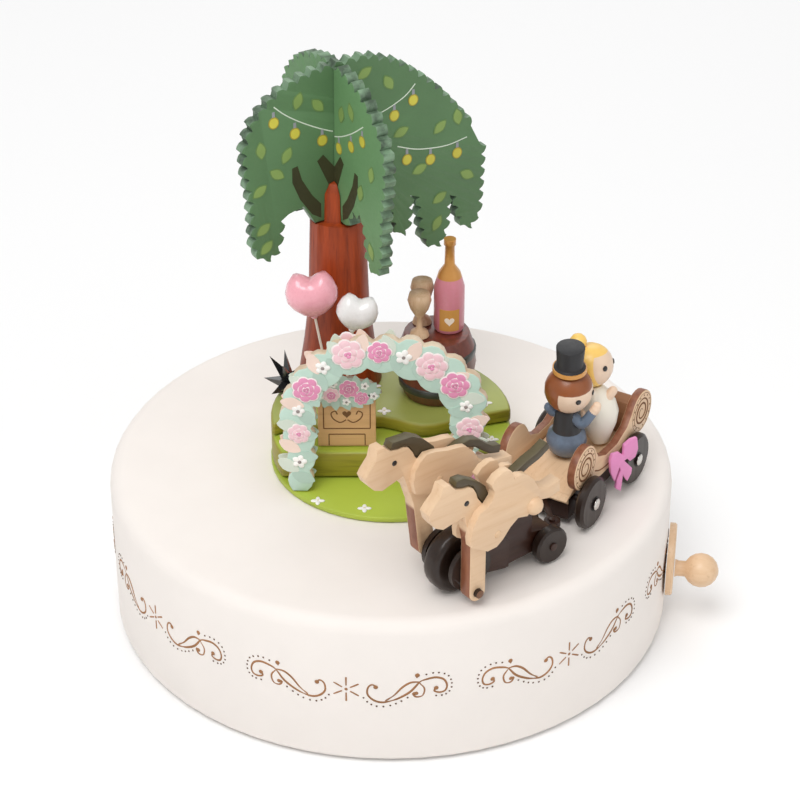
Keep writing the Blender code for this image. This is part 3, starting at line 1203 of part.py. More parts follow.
def build_bow(carriage):
    """Wooden bow on the outer panel, between the wheels: two loops and two tails."""
    loops = [(0.0008, 0.0147), (0.0019, 0.0135), (0.0038, 0.0144), (0.0046, 0.0170), (0.0040, 0.0210),
             (0.0017, 0.0209), (-0.0005, 0.0197), (-0.0006, 0.0163), (-0.0022, 0.0178), (-0.0046, 0.0179),
             (-0.0053, 0.0160), (-0.0048, 0.0114), (-0.0033, 0.0080), (-0.0018, 0.0124)]
    tails = [(-0.0013, 0.0112), (-0.0024, 0.0086), (-0.0027, 0.0053), (-0.0008, 0.0039), (-0.0004, 0.0094),
             (0.0002, 0.0083), (0.0013, 0.0067), (0.0026, 0.0089), (0.0028, 0.0108), (-0.0002, 0.0143)]
    outline = [(-x, z) for x, z in loops + tails]
    half = BOW_THICKNESS / 2
    add_object("carriage_bow", slab(outline, -half, half), "bow_pink", carriage,
               location=(BOW_X, BOW_Y, 0), rotation=(0, 0, BOW_TURN))


# Figures: turned bodies and heads on pegs

def build_figures(carriage):
    seat = FLOOR_TOP + GAP
    groom = add_frame("groom_frame", carriage, (GROOM_X, GROOM_Y, seat + 0.0003))
    groom.rotation_euler = GROOM_LEAN
    wide = GROOM_RADIUS
    tall = GROOM_HEIGHT
    profile = [(0.0, 0.0), (wide * 0.50, 0.0), (wide * 0.86, 0.0020), (wide, 0.0048), (wide * 0.92, 0.0072),
               (wide * 0.70, 0.0084), (wide * 0.62, tall - 0.0010), (wide * 0.45, tall), (0.0, tall)]
    add_object("groom_body", turned(profile, 20), "suit", groom)
    head = tall + GAP + GROOM_HEAD_RADIUS * HEAD_FLAT
    add_head("groom_head", GROOM_HEAD_RADIUS, head, "trunk_brown", groom)
    brim = head + GROOM_HEAD_RADIUS * HEAD_FLAT + GAP
    top = brim + HAT_HEIGHT
    profile = [(0.0, brim), (HAT_BRIM, brim), (HAT_BRIM, brim + 0.0010), (HAT_RADIUS * 0.90, brim + 0.0012),
               (HAT_RADIUS, top), (0.0, top)]
    add_object("groom_hat", turned(profile, 20), "hat_black", groom)

    bride = add_frame("bride_frame", carriage, (BRIDE_X, BRIDE_Y, seat + 0.0006))
    bride.rotation_euler = BRIDE_LEAN
    wide = BRIDE_RADIUS
    tall = BRIDE_HEIGHT
    profile = [(0.0, 0.0), (wide * 0.36, 0.0), (wide * 0.56, 0.0024), (wide * 0.84, 0.0058), (wide, 0.0094),
               (wide * 0.92, 0.0126), (wide * 0.66, 0.0160), (wide * 0.40, tall), (0.0, tall)]
    add_object("bride_body", turned(profile, 20), "dress_white", bride)
    centre = tall + GAP + BRIDE_HEAD_RADIUS * HEAD_FLAT
    head = add_head("bride_head", BRIDE_HEAD_RADIUS, centre, "hair_blond", bride)
    bun_z = BRIDE_HEAD_RADIUS + BUN_RADIUS * 0.45
    join(head, moved(ball(BUN_RADIUS, 12), x=0.0020, y=-0.0022, z=bun_z))


def add_head(name, radius, height, finish, parent):
    """A ball with a small flat below and above, so that it sits on its body."""
    limit = math.degrees(math.asin(HEAD_FLAT))
    cap = radius * HEAD_FLAT
    profile = [(0.0, -cap)] + arc(0.0, 0.0, radius, -limit, limit, 9) + [(0.0, cap)]
    return add_object(name, turned(profile, 20), finish, parent, location=(0, 0, height))


def hitch_point(carriage_matrix, team_matrix):
    """The drawbar's pivot behind the team, in the carriage's frame."""
    pivot = Vector((-HITCH_REACH, 0.0, 0.0))
    spot = carriage_matrix.inverted() @ (team_matrix @ pivot)
    return spot.x, spot.y


def main():
    clear_scene()
    build_drum()
    key_axis = add_frame("key_axis", location=(0, 0, KEY_HEIGHT), turn=KEY_AZIMUTH)
    build_crank(key_axis)
    build_movement(key_axis)
    build_drive()
    build_garden()
    build_tree()
    build_table()
    build_balloons()
    build_arch()
    build_sign()
    build_bush()
    team = add_frame("team_frame", location=(TEAM_X, TEAM_Y, DECK_HEIGHT), turn=TEAM_HEADING)
    carriage = add_frame("carriage_frame", location=(CARRIAGE_X, CARRIAGE_Y, DECK_HEIGHT),
                         turn=CARRIAGE_HEADING)
    build_team(team)
    team_matrix = Matrix.Translation(team.location) @ Matrix.Rotation(TEAM_HEADING, 4, "Z")
    carriage_matrix = Matrix.Translation(carriage.location) @ Matrix.Rotation(CARRIAGE_HEADING, 4, "Z")
    build_carriage(carriage, hitch_point(carriage_matrix, team_matrix))
    build_figures(carriage)


if __name__ == "__main__":
    main()
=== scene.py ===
"""Dresses the wooden music box: paint, wood, printed ornament, flowers, lights and figures."""

import json
import math
import random

import bmesh
import bpy
from mathutils import Matrix, Vector

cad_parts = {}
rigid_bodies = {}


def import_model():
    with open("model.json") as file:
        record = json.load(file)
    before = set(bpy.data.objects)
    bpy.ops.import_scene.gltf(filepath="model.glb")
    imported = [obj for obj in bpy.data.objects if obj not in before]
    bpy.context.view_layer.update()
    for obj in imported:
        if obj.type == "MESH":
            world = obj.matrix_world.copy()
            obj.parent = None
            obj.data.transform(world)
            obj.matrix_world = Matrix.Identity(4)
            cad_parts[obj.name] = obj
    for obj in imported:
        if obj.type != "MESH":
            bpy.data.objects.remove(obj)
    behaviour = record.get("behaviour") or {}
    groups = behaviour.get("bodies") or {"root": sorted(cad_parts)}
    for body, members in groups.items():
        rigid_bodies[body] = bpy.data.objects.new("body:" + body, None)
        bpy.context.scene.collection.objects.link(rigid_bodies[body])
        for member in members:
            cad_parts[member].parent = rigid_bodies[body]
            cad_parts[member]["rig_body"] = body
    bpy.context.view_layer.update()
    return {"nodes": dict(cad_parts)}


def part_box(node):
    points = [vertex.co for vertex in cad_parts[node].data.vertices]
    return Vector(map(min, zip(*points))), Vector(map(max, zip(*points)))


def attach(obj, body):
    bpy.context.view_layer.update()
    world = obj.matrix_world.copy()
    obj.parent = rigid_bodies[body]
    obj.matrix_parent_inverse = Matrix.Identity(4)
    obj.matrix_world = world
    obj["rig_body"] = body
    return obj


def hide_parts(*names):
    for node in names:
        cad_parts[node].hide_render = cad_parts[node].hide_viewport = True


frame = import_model()
NODES = frame["nodes"]

bl_info = {
    "name": "Wooden Music Box Dresser",
    "version": (1, 0, 0),
    "blender": (4, 5, 0),
    "location": "3D View > Sidebar > Music Box",
    "description": "Paints and decorates a wooden music box with a carriage that circles a garden",
    "category": "Object",
}

# Places and sizes of the solids that the looks need, in metres
DRUM_RADIUS = 0.085
DECK_HEIGHT = 0.049
TEAM_PLACE = Vector((0.0179, -0.0675, DECK_HEIGHT))
TEAM_HEADING = math.radians(-143.0)
CARRIAGE_PLACE = Vector((0.0524, -0.0184, DECK_HEIGHT))
CARRIAGE_HEADING = math.radians(-121.6)
KEY_AZIMUTH = math.radians(-9.0)
KEY_HEIGHT = 0.020
BED_TOP = 0.0073
TREE_PLACE = Vector((-0.0156, 0.020, 0.0))
TREE_TURN = math.radians(30.0)
BOARD_HALF = 0.00175
ARCH_PLACE = Vector((-0.0279, -0.0211, 0.0))
ARCH_TURN = math.radians(-4.0)
ARCH_HALF = 0.0015
CRANK_THROW = 0.0052
CRANK_AXLE = 0.0102
HORSE_INSIDE = 0.0071
HORSE_OUTSIDE = HORSE_INSIDE + 0.0040
HORSE_CORE = (HORSE_INSIDE + HORSE_OUTSIDE) / 2
HORSE_CORE_HALF = 0.00192
CHEST_HEIGHT = DECK_HEIGHT + 0.0262
WHEEL_BASE_HALF = 0.01375
WHEEL_AXLE = 0.0082
WHEEL_OUTSIDE = 0.0158
PANEL_OUTSIDE = 0.0125
GROOM_TALL, GROOM_HEAD, GROOM_WAIST = 0.0160, 0.0071, 0.0083
BRIDE_TALL, BRIDE_HEAD = 0.0178, 0.0066
NECK_GAP = 0.0003
HEAD_SEAT = 0.94


def turned_matrix(place, heading):
    return Matrix.Translation(place) @ Matrix.Rotation(heading, 4, "Z")


UP = Vector((0, 0, 1))
TEAM = turned_matrix(TEAM_PLACE, TEAM_HEADING)
CARRIAGE = turned_matrix(CARRIAGE_PLACE, CARRIAGE_HEADING)
KEY = turned_matrix(Vector((0.0, 0.0, KEY_HEIGHT)), KEY_AZIMUTH)
KEY_AXIS = KEY.to_3x3() @ Vector((1, 0, 0))


def linear(red, green, blue):
    """Colour as a paint chart gives it, from 0 to 255, in the linear values that a material takes."""
    def step(value):
        value /= 255
        return value / 12.92 if value <= 0.04045 else ((value + 0.055) / 1.055) ** 2.4
    return (step(red), step(green), step(blue))


def colour(label, description, red, green, blue):
    return bpy.props.FloatVectorProperty(name=label, description=description, subtype="COLOR", size=3,
                                         min=0.0, max=1.0, default=linear(red, green, blue))


def length(label, description, metres):
    return bpy.props.FloatProperty(name=label, description=description, unit="LENGTH", subtype="DISTANCE",
                                   min=0.0, precision=5, default=metres)


def share(label, description, value):
    return bpy.props.FloatProperty(name=label, description=description, subtype="FACTOR", min=0.0, max=1.0,
                                   default=value)


class WoodColours(bpy.types.PropertyGroup):
    beech: colour("Beech", "Pale lacquered wood of horses, crank and panels", 232, 199, 163)
    beech_grain: colour("Beech grain", "Darker grain lines in the pale wood", 206, 162, 118)
    burnt: colour("Burnt line", "Lines burnt into the drum and the panels", 158, 112, 74)
    burnt_edge: colour("Burnt edge", "Red-brown saw-cut edges of the panels", 136, 70, 36)
    trunk: colour("Trunk", "Stained trunk of the tree", 172, 68, 20)
    trunk_grain: colour("Trunk grain", "Dark pores in the trunk", 96, 34, 12)
    keg: colour("Keg", "Dark stained keg", 108, 46, 30)
    hoop: colour("Keg hoop", "Painted hoops round the keg", 44, 48, 42)
    dark: colour("Dark wood", "Chassis and beam of the team and the carriage", 56, 27, 14)
    wheel: colour("Wheel", "Stained wheels", 42, 27, 18)
    mane: colour("Mane", "Stained mane and tail", 78, 66, 44)


class PaintColours(bpy.types.PropertyGroup):
    drum: colour("Drum", "Warm white of the drum", 243, 236, 230)
    lawn: colour("Lawn", "Green of the ground disc", 172, 190, 66)
    bank: colour("Bank", "Olive sides of the terraces", 150, 142, 38)
    meadow: colour("Meadow", "Tops of the terraces", 160, 168, 84)
    leaf_front: colour("Foliage", "Printed face of the foliage boards", 88, 124, 82)
    leaf_edge: colour("Foliage edge", "Sawn edge of the foliage boards", 126, 156, 126)
    pink: colour("Balloon pink", "Glossy pink balloon", 244, 172, 184)
    white: colour("White", "Glossy white paint", 240, 238, 236)
    rose: colour("Rose", "Deep pink of the rosettes", 230, 150, 186)
    blush: colour("Blush", "Pale pink of the rosettes", 244, 205, 212)
    mint: colour("Mint", "Mint leaves of the arch", 188, 214, 200)
    bow: colour("Bow", "Pink bow on the carriage", 226, 140, 190)
    suit: colour("Suit", "Grey-blue trousers and sleeves", 104, 120, 140)
    hat: colour("Hat", "Black hat and waistcoat", 44, 44, 46)
    brown_hair: colour("Brown hair", "Hair of the figure with the hat", 142, 76, 30)
    fair_hair: colour("Fair hair", "Hair of the figure in white", 250, 204, 106)
    skin: colour("Skin", "Bare wood faces and hands", 234, 206, 180)
    gold: colour("Gold", "Foil on the bottle and the hat's band", 214, 152, 76)
    bulb: colour("Bulb", "Painted light bulbs", 206, 196, 74)


class OrnamentSizes(bpy.types.PropertyGroup):
    line: length("Line width", "Half the width of a burnt line", 0.00042)
    dot: length("Dot radius", "Radius of the small burnt dots", 0.00030)
    height: length("Height", "Height of the ornament's stars above the table", 0.0261)
    groups: bpy.props.IntProperty(name="Groups", description="Ornament groups round the drum", min=1,
                                  default=8)
    relief: length("Relief", "How far prints and lines stand proud", 0.00010)


class FlowerSizes(bpy.types.PropertyGroup):
    rosette: length("Rosette radius", "Radius of a large rosette on the arch", 0.0048)
    small: length("Small flower", "Radius of a small white flower", 0.0022)
    lawn: length("Lawn flower", "Radius of a white flower on the lawn", 0.0019)
    leaf: length("Leaf", "Length of a printed leaf", 0.0058)


class LightSizes(bpy.types.PropertyGroup):
    bulb: length("Bulb radius", "Radius of a printed light bulb", 0.0017)
    wire: length("Wire", "Radius of the printed wire", 0.00032)


class StageSettings(bpy.types.PropertyGroup):
    lens: bpy.props.FloatProperty(name="Lens", description="Focal length of the camera in millimetres",
                                  min=1.0, default=107.4)
    key: bpy.props.FloatProperty(name="Key light", description="Power of the main soft light", min=0.0,
                                 default=11.0)
    fill: bpy.props.FloatProperty(name="Fill light", description="Power of the fill light", min=0.0,
                                  default=1.6)
    back: bpy.props.FloatProperty(name="Back light", description="Power of the light behind", min=0.0,
                                  default=3.2)
    sky: share("Sky", "Strength of the surrounding light", 0.56)


SETTINGS = {"box_wood": WoodColours, "box_paint": PaintColours, "box_ornament": OrnamentSizes,
            "box_flowers": FlowerSizes, "box_lights": LightSizes, "box_stage": StageSettings}


def wood():
    return bpy.context.scene.box_wood


def paint():
    return bpy.context.scene.box_paint


def ornament():
    return bpy.context.scene.box_ornament


# Materials

class Finish:
    """One procedural material: nodes are added and linked through short calls."""

    def __init__(self, name):
        self.material = bpy.data.materials.new(name)
        self.material.use_nodes = True
        self.tree = self.material.node_tree
        self.shader = self.tree.nodes["Principled BSDF"]

    def add(self, kind, inputs=None, **settings):
        node = self.tree.nodes.new("ShaderNode" + kind)
        for key, value in settings.items():
            setattr(node, key, value)
        for key, value in (inputs or {}).items():
            self.feed(node.inputs[key], value)
        return node

    def feed(self, socket, value):
        if isinstance(value, bpy.types.NodeSocket):
            self.tree.links.new(value, socket)
        else:
            socket.default_value = value

    def set(self, **values):
        for key, value in values.items():
            self.feed(self.shader.inputs[key.replace("_", " ")], value)

    def position(self, scale=(1, 1, 1), along=(1, 0, 0)):
        """Object coordinates turned so that X runs along the grain, then scaled."""
        coordinates = self.add("TexCoord")
        turn = Vector(along).to_track_quat("X", "Z").to_euler()
        return self.add("Mapping", {"Vector": coordinates.outputs["Object"], "Rotation": tuple(turn),
                                    "Scale": tuple(1 / value for value in scale)},
                        vector_type="TEXTURE").outputs["Vector"]

    def normal(self):
        return self.add("TexCoord").outputs["Normal"]

    def noise(self, where, scale, detail=3.0, roughness=0.55, distortion=0.0):
        node = self.add("TexNoise", {"Vector": where, "Scale": scale, "Detail": detail,
                                     "Roughness": roughness, "Distortion": distortion})
        return node.outputs["Fac"]

    def ramp(self, factor, stops):
        node = self.add("ValToRGB", {"Fac": factor})
        band = node.color_ramp
        while len(band.elements) < len(stops):
            band.elements.new(0.5)
        for element, (place, tint) in zip(band.elements, stops):
            element.position = place
            element.color = (*tint, 1.0) if len(tint) == 3 else tint
        return node.outputs["Color"]

    def blend(self, factor, first, second):
        node = self.add("Mix", data_type="RGBA")
        for index, value in ((0, factor), (6, first), (7, second)):
            if isinstance(value, tuple) and len(value) == 3:
                value = (*value, 1.0)
            self.feed(node.inputs[index], value)
        return node.outputs[2]

    def maths(self, operation, first, second=0.0):
        node = self.add("Math", operation=operation)
        for socket, value in zip(node.inputs, (first, second)):
            self.feed(socket, value)
        return node.outputs["Value"]

    def dot(self, vector, direction):
        node = self.add("VectorMath", operation="DOT_PRODUCT")
        self.feed(node.inputs[0], vector)
        node.inputs[1].default_value = direction
        return node.outputs["Value"]

    def step(self, value, edge, softness):
        node = self.add("MapRange", {"Value": value, "From Min": edge - softness,
                                     "From Max": edge + softness})
        return node.outputs["Result"]

    def gloss(self, noise, low, high, until=0.7):
        """Roughness that varies with a noise, from low to high."""
        self.set(Roughness=self.ramp(noise, [(0.3, (low,) * 3), (until, (high,) * 3)]))

    def bump(self, height, strength, distance=0.0002):
        node = self.add("Bump", {"Height": height, "Strength": strength, "Distance": distance})
        self.feed(self.shader.inputs["Normal"], node.outputs["Normal"])


def darker(tint, factor):
    return tuple(min(1.0, value * factor) for value in tint)


def between(first, second, part):
    return tuple(a * (1 - part) + b * part for a, b in zip(first, second))


def painted(name, tint, rough=0.5, coat=0.0, mottling=0.06, texture=0.15):
    """Brushed paint on wood: slight mottling, fine texture and uneven gloss."""
    made = Finish(name)
    tint = tuple(tint)
    where = made.position()
    cloud = made.noise(where, 60.0, 4.0)
    tone = made.ramp(cloud, [(0.3, darker(tint, 1 - mottling)), (0.7, darker(tint, 1 + mottling))])
    fine = made.noise(where, 900.0, 3.0)
    made.set(Base_Color=tone, Coat_Weight=coat, Coat_Roughness=0.12, Specular_IOR_Level=0.35)
    made.gloss(fine, rough - 0.06, rough + 0.06)
    made.bump(fine, texture, 0.00015)
    return made.material


def wooden(name, light, dark, along, rough=0.5, coat=0.0, grain=1.0, scale=1.0, contrast=0.5):
    """Sawn wood: long fibres along one direction, soft rings and pores."""
    made = Finish(name)
    light, dark = tuple(light), tuple(dark)
    stretched = made.position((38 * scale, 420 * scale, 420 * scale), along)
    rings = made.noise(made.position((12 * scale, 120 * scale, 120 * scale), along), 1.0, 3.0, 0.5, 1.2)
    fibre = made.noise(stretched, 1.0, 6.0, 0.65)
    pores = made.noise(made.position((60 * scale, 1500 * scale, 1500 * scale), along), 1.0, 2.0)
    base = made.ramp(rings, [(0.32, light), (0.52, between(light, dark, 0.35 * contrast)), (0.72, light)])
    body = made.blend(made.step(fibre, 0.60, 0.16), base, dark)
    amount = made.maths("MULTIPLY", made.step(pores, 0.64, 0.05), 0.35 * contrast)
    body = made.blend(amount, made.blend(1 - contrast, body, base), darker(dark, 0.6))
    made.set(Base_Color=body, Coat_Weight=coat, Coat_Roughness=0.18, Specular_IOR_Level=0.3)
    made.gloss(fibre, rough, min(rough + 0.16, 1.0), 0.8)
    made.bump(fibre, 0.18 * grain, 0.00015)
    return made.material


def metal(name, tint, rough=0.3, along=(1, 0, 0)):
    """Ground metal with fine lines."""
    made = Finish(name)
    lines = made.noise(made.position((30, 2500, 2500), along), 1.0, 3.0)
    made.set(Base_Color=made.ramp(lines, [(0.3, darker(tint, 0.86)), (0.7, tint)]), Metallic=1.0)
    made.gloss(lines, rough, rough + 0.15)
    made.bump(lines, 0.1, 0.0001)
    return made.material


def sawn_face(made, light, dark, along, streak):
    """Colour of a sawn pale face with soft rings and darker fibres, and the fibres themselves."""
    fibre = made.noise(made.position((50, 520, 520), along), 1.0, 5.0, 0.6)
    rings = made.noise(made.position((14, 130, 130), along), 1.0, 3.0, 0.5, 1.0)
    face = made.ramp(rings, [(0.3, light), (0.55, between(light, dark, streak)), (0.75, light)])
    amount = made.maths("MULTIPLY", made.step(fibre, 0.62, 0.1), 0.35)
    return made.blend(amount, face, dark), fibre


def sawn_board(name, light, dark, edge, face_normal, along, shade):
    """Light faces with grain, and darker scorched saw edges."""
    made = Finish(name)
    front, fibre = sawn_face(made, light, dark, along, streak=0.28)
    facing = made.maths("ABSOLUTE", made.dot(made.normal(), tuple(face_normal)))
    scorch = made.noise(made.position((500, 500, 500)), 1.0, 4.0)
    sides = made.ramp(scorch, [(0.3, darker(edge, 0.75)), (0.7, between(edge, light, shade))])
    made.set(Base_Color=made.blend(made.step(facing, 0.55, 0.15), sides, front), Coat_Weight=0.15,
             Coat_Roughness=0.25)
    made.gloss(fibre, 0.42, 0.56, 0.75)
    made.bump(fibre, 0.14, 0.00015)
    return made.material


def printed_board(name, face, edge, board_normal, ends=None):
    """Board with a printed face and a sawn edge, told apart by the surface's direction."""
    made = Finish(name)
    facing = made.maths("ABSOLUTE", made.dot(made.normal(), tuple(board_normal)))
    where = made.position()
    cloud = made.noise(where, 45.0, 4.0)
    front = made.ramp(cloud, [(0.3, darker(face, 0.92)), (0.7, darker(face, 1.08))])
    saw = made.noise(made.position((160, 160, 160)), 1.0, 4.0, 0.6)
    side = made.ramp(saw, [(0.36, ends or darker(edge, 0.72)), (0.6, edge)])
    made.set(Base_Color=made.blend(made.step(facing, 0.6, 0.1), side, front))
    fine = made.noise(where, 1100.0, 3.0)
    made.gloss(fine, 0.50, 0.62)
    made.bump(fine, 0.2, 0.00015)
    return made.material


MERGE_DISTANCE = 0.000002
FLAT_LIMIT = math.radians(0.4)


def dress(node, material):
    """A carried-over solid takes its new finish."""
    slots = NODES[node].material_slots
    for slot in slots:
        slot.material = material
    if not slots:
        NODES[node].data.materials.append(material)


def joined_faces(node):
    """The solid's mesh with its doubled points merged and its flat faces joined."""
    bm = bmesh.new()
    bm.from_mesh(NODES[node].data)
    bmesh.ops.remove_doubles(bm, verts=bm.verts, dist=MERGE_DISTANCE)
    bmesh.ops.dissolve_limit(bm, angle_limit=FLAT_LIMIT, verts=bm.verts, edges=bm.edges)
    return bm


def ease(node, material, bevel=0.0, angle=35.0):
    """A smooth-shaded copy with slightly rounded edges stands for a faceted solid."""
    dress(node, material)
    bm = joined_faces(node)
    bmesh.ops.recalc_face_normals(bm, faces=bm.faces)
    limit = math.radians(angle)
    if bevel:
        sharp = [edge for edge in bm.edges if len(edge.link_faces) == 2 and edge.calc_face_angle(0.0) > limit]
        bmesh.ops.bevel(bm, geom=sharp, offset=bevel, segments=2, profile=0.5, affect="EDGES",
                        clamp_overlap=True)
    mesh = bpy.data.meshes.new(node + "_finish")
    bm.to_mesh(mesh)
    bm.free()
    mesh.materials.append(material)
    mesh.shade_smooth()
    mesh.set_sharp_from_angle(angle=math.radians(50 if bevel else angle))
    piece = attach(mesh_piece(mesh.name, mesh), NODES[node]["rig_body"])
    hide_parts(node)


def leaf_teeth(points, out):
    """Draws every tooth of a sawn outline as a leaf: a full upper side, and a hollow short one."""
    count = len(points)
    turns = []
    for i, point in enumerate(points):
        before, after = points[i - 1], points[(i + 1) % count]
        turns.append((point - before).cross(after - point).dot(out))
    lengths = [(points[(i + 1) % count] - point).length for i, point in enumerate(points)]
    curve = []
    for i, point in enumerate(points):
        j = (i + 1) % count
        curve.append(point)
        if turns[i] * turns[j] >= 0 or not 0.0008 < lengths[i] < 0.0055:
            continue
        tip = i if turns[i] > 0 else j
        other = lengths[(tip - 1) % count if tip == i else tip]
        bulge = 0.20 if lengths[i] >= other else -0.10
        sideways = (points[j] - point).cross(out)
        for step in (0.2, 0.4, 0.6, 0.8):
            climb = step if tip == j else 1 - step
            lift = bulge * math.sin(math.pi * climb ** 0.8)
            curve.append(point.lerp(points[j], step) + sideways * lift)
    return curve


def leaf_board(node, material, out, bevel):
    """A foliage board with leaf-shaped teeth stands for the sawn one."""
    bm = joined_faces(node)
    bm.normal_update()
    front = max((face for face in bm.faces if face.normal.dot(out) > 0.99), key=lambda face: face.calc_area())
    back = min(bm.verts, key=lambda vert: vert.co.dot(out))
    thick = front.verts[0].co.dot(out) - back.co.dot(out)
    outline = leaf_teeth([vert.co.copy() for vert in front.verts], out)
    bm.free()
    board = bmesh.new()
    high = [board.verts.new(point) for point in outline]
    low = [board.verts.new(point - out * thick) for point in outline]
    faces = [board.faces.new(high), board.faces.new(low[::-1])]
    for i in range(len(outline)):
        j = (i + 1) % len(outline)
        board.faces.new([high[j], high[i], low[i], low[j]])
    rim = [edge for face in faces for edge in face.edges]
    bmesh.ops.bevel(board, geom=rim, offset=bevel, segments=2, profile=0.5, affect="EDGES",
                    clamp_overlap=True)
    dress(node, material)
    piece = solid(node + "_leafy", board, material, NODES[node]["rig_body"], smooth_angle=42)
    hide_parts(node)


# Geometry Nodes for what repeats or follows a line

class Maker:
    """A Geometry Nodes tree with named inputs, used through a modifier and then made plain mesh."""

    def __init__(self, name, inputs):
        self.group = bpy.data.node_groups.new(name, "GeometryNodeTree")
        self.group.interface.new_socket("Geometry", in_out="INPUT", socket_type="NodeSocketGeometry")
        for label, kind, value in inputs:
            socket = self.group.interface.new_socket(label, in_out="INPUT", socket_type="NodeSocket" + kind)
            if value is not None:
                socket.default_value = value
        self.group.interface.new_socket("Geometry", in_out="OUTPUT", socket_type="NodeSocketGeometry")
        self.start = self.group.nodes.new("NodeGroupInput")
        self.end = self.group.nodes.new("NodeGroupOutput")

    def given(self, label):
        return self.start.outputs[label]

    def add(self, kind, inputs=None, **settings):
        node = self.group.nodes.new(kind)
        for key, value in settings.items():
            setattr(node, key, value)
        for key, value in (inputs or {}).items():
            socket = node.inputs[key]
            if isinstance(value, bpy.types.NodeSocket):
                self.group.links.new(value, socket)
            else:
                socket.default_value = value
        return node

    def finish(self, geometry):
        real = self.add("GeometryNodeRealizeInstances", {"Geometry": geometry})
        tinted = self.add("GeometryNodeSetMaterial",
                          {"Geometry": real.outputs[0], "Material": self.given("Finish")})
        self.group.links.new(tinted.outputs[0], self.end.inputs[0])
        return self


def line_maker():
    """Burnt or painted lines: a round bead along every edge chain, as wide as its points say."""
    tree = Maker("lines_along_paths",
                 [("Width", "Float", 1.0), ("Sides", "Int", 8), ("Finish", "Material", None)])
    curve = tree.add("GeometryNodeMeshToCurve", {"Mesh": tree.given("Geometry")})
    width = tree.add("GeometryNodeInputNamedAttribute", {"Name": "width"}, data_type="FLOAT")
    scaled = tree.add("ShaderNodeMath", {0: width.outputs[0], 1: tree.given("Width")}, operation="MULTIPLY")
    sized = tree.add("GeometryNodeSetCurveRadius", {"Curve": curve.outputs[0], "Radius": scaled.outputs[0]})
    ring = tree.add("GeometryNodeCurvePrimitiveCircle", {"Resolution": tree.given("Sides"), "Radius": 1.0})
    tube = tree.add("GeometryNodeCurveToMesh", {"Curve": sized.outputs[0], "Profile Curve": ring.outputs[0],
                                                "Fill Caps": True})
    if "Scale" in tube.inputs:
        tree.group.links.new(scaled.outputs[0], tube.inputs["Scale"])
    return tree.finish(tube.outputs[0])


def stud_maker():
    """Dots, nail heads and bulbs: a flattened ball on every point, turned to face outwards."""
    tree = Maker("studs_on_points", [("Radius", "Float", 0.001), ("Height", "Float", 0.0005),
                                     ("Segments", "Int", 10), ("Rings", "Int", 6),
                                     ("Finish", "Material", None)])
    ball = tree.add("GeometryNodeMeshUVSphere",
                    {"Segments": tree.given("Segments"), "Rings": tree.given("Rings"), "Radius": 1.0})
    facing = tree.add("GeometryNodeInputNamedAttribute", {"Name": "facing"}, data_type="FLOAT_VECTOR")
    turn = tree.add("FunctionNodeAlignRotationToVector", {"Vector": facing.outputs[0]}, axis="Z")
    size = tree.add("GeometryNodeInputNamedAttribute", {"Name": "size"}, data_type="FLOAT")
    flat = tree.add("ShaderNodeCombineXYZ", {"X": tree.given("Radius"), "Y": tree.given("Radius"),
                                             "Z": tree.given("Height")})
    scaled = tree.add("ShaderNodeVectorMath", {0: flat.outputs[0], "Scale": size.outputs[0]},
                      operation="SCALE")
    placed = tree.add("GeometryNodeInstanceOnPoints",
                      {"Points": tree.given("Geometry"), "Instance": ball.outputs[0],
                       "Rotation": turn.outputs[0], "Scale": scaled.outputs[0]})
    return tree.finish(placed.outputs[0])


def petal_maker():
    """One ring of petals on every point: the flower faces along the point's direction."""
    tree = Maker("petal_rings", [("Petals", "Int", 5), ("Ring", "Float", 0.5), ("Long", "Float", 0.5),
                                 ("Wide", "Float", 0.4), ("Thick", "Float", 0.05), ("Turn", "Float", 0.0),
                                 ("Finish", "Material", None)])
    petal = tree.add("GeometryNodeMeshUVSphere", {"Segments": 12, "Rings": 6, "Radius": 1.0})
    shape = tree.add("ShaderNodeCombineXYZ", {"X": tree.given("Long"), "Y": tree.given("Wide"),
                                              "Z": tree.given("Thick")})
    circle = tree.add("GeometryNodeMeshCircle",
                      {"Vertices": tree.given("Petals"), "Radius": tree.given("Ring")})
    number = tree.add("GeometryNodeInputIndex")
    slice_angle = tree.add("ShaderNodeMath", {0: math.tau, 1: tree.given("Petals")}, operation="DIVIDE")
    spin = tree.add("ShaderNodeMath", {0: number.outputs[0], 1: slice_angle.outputs[0]}, operation="MULTIPLY")
    aim = tree.add("ShaderNodeCombineXYZ", {"Z": spin.outputs[0]})
    ring = tree.add("GeometryNodeInstanceOnPoints",
                    {"Points": circle.outputs[0], "Instance": petal.outputs[0],
                     "Rotation": aim.outputs[0], "Scale": shape.outputs[0]})
    whole = tree.add("GeometryNodeRealizeInstances", {"Geometry": ring.outputs[0]})
    twist = tree.add("ShaderNodeCombineXYZ", {"Z": tree.given("Turn")})
    turned = tree.add("GeometryNodeTransform", {"Geometry": whole.outputs[0], "Rotation": twist.outputs[0]})
    facing = tree.add("GeometryNodeInputNamedAttribute", {"Name": "facing"}, data_type="FLOAT_VECTOR")
    look = tree.add("FunctionNodeAlignRotationToVector", {"Vector": facing.outputs[0]}, axis="Z")
    size = tree.add("GeometryNodeInputNamedAttribute", {"Name": "size"}, data_type="FLOAT")
    placed = tree.add("GeometryNodeInstanceOnPoints",
                      {"Points": tree.given("Geometry"), "Instance": turned.outputs[0],
                       "Rotation": look.outputs[0], "Scale": size.outputs[0]})
    return tree.finish(placed.outputs[0])


MAKERS = {}


def maker(kind):
    if kind not in MAKERS:
        MAKERS[kind] = {"lines": line_maker, "studs": stud_maker, "petals": petal_maker}[kind]()
    return MAKERS[kind]


def mesh_piece(name, mesh):
    piece = bpy.data.objects.new(name, mesh)
    bpy.context.scene.collection.objects.link(piece)
    return piece


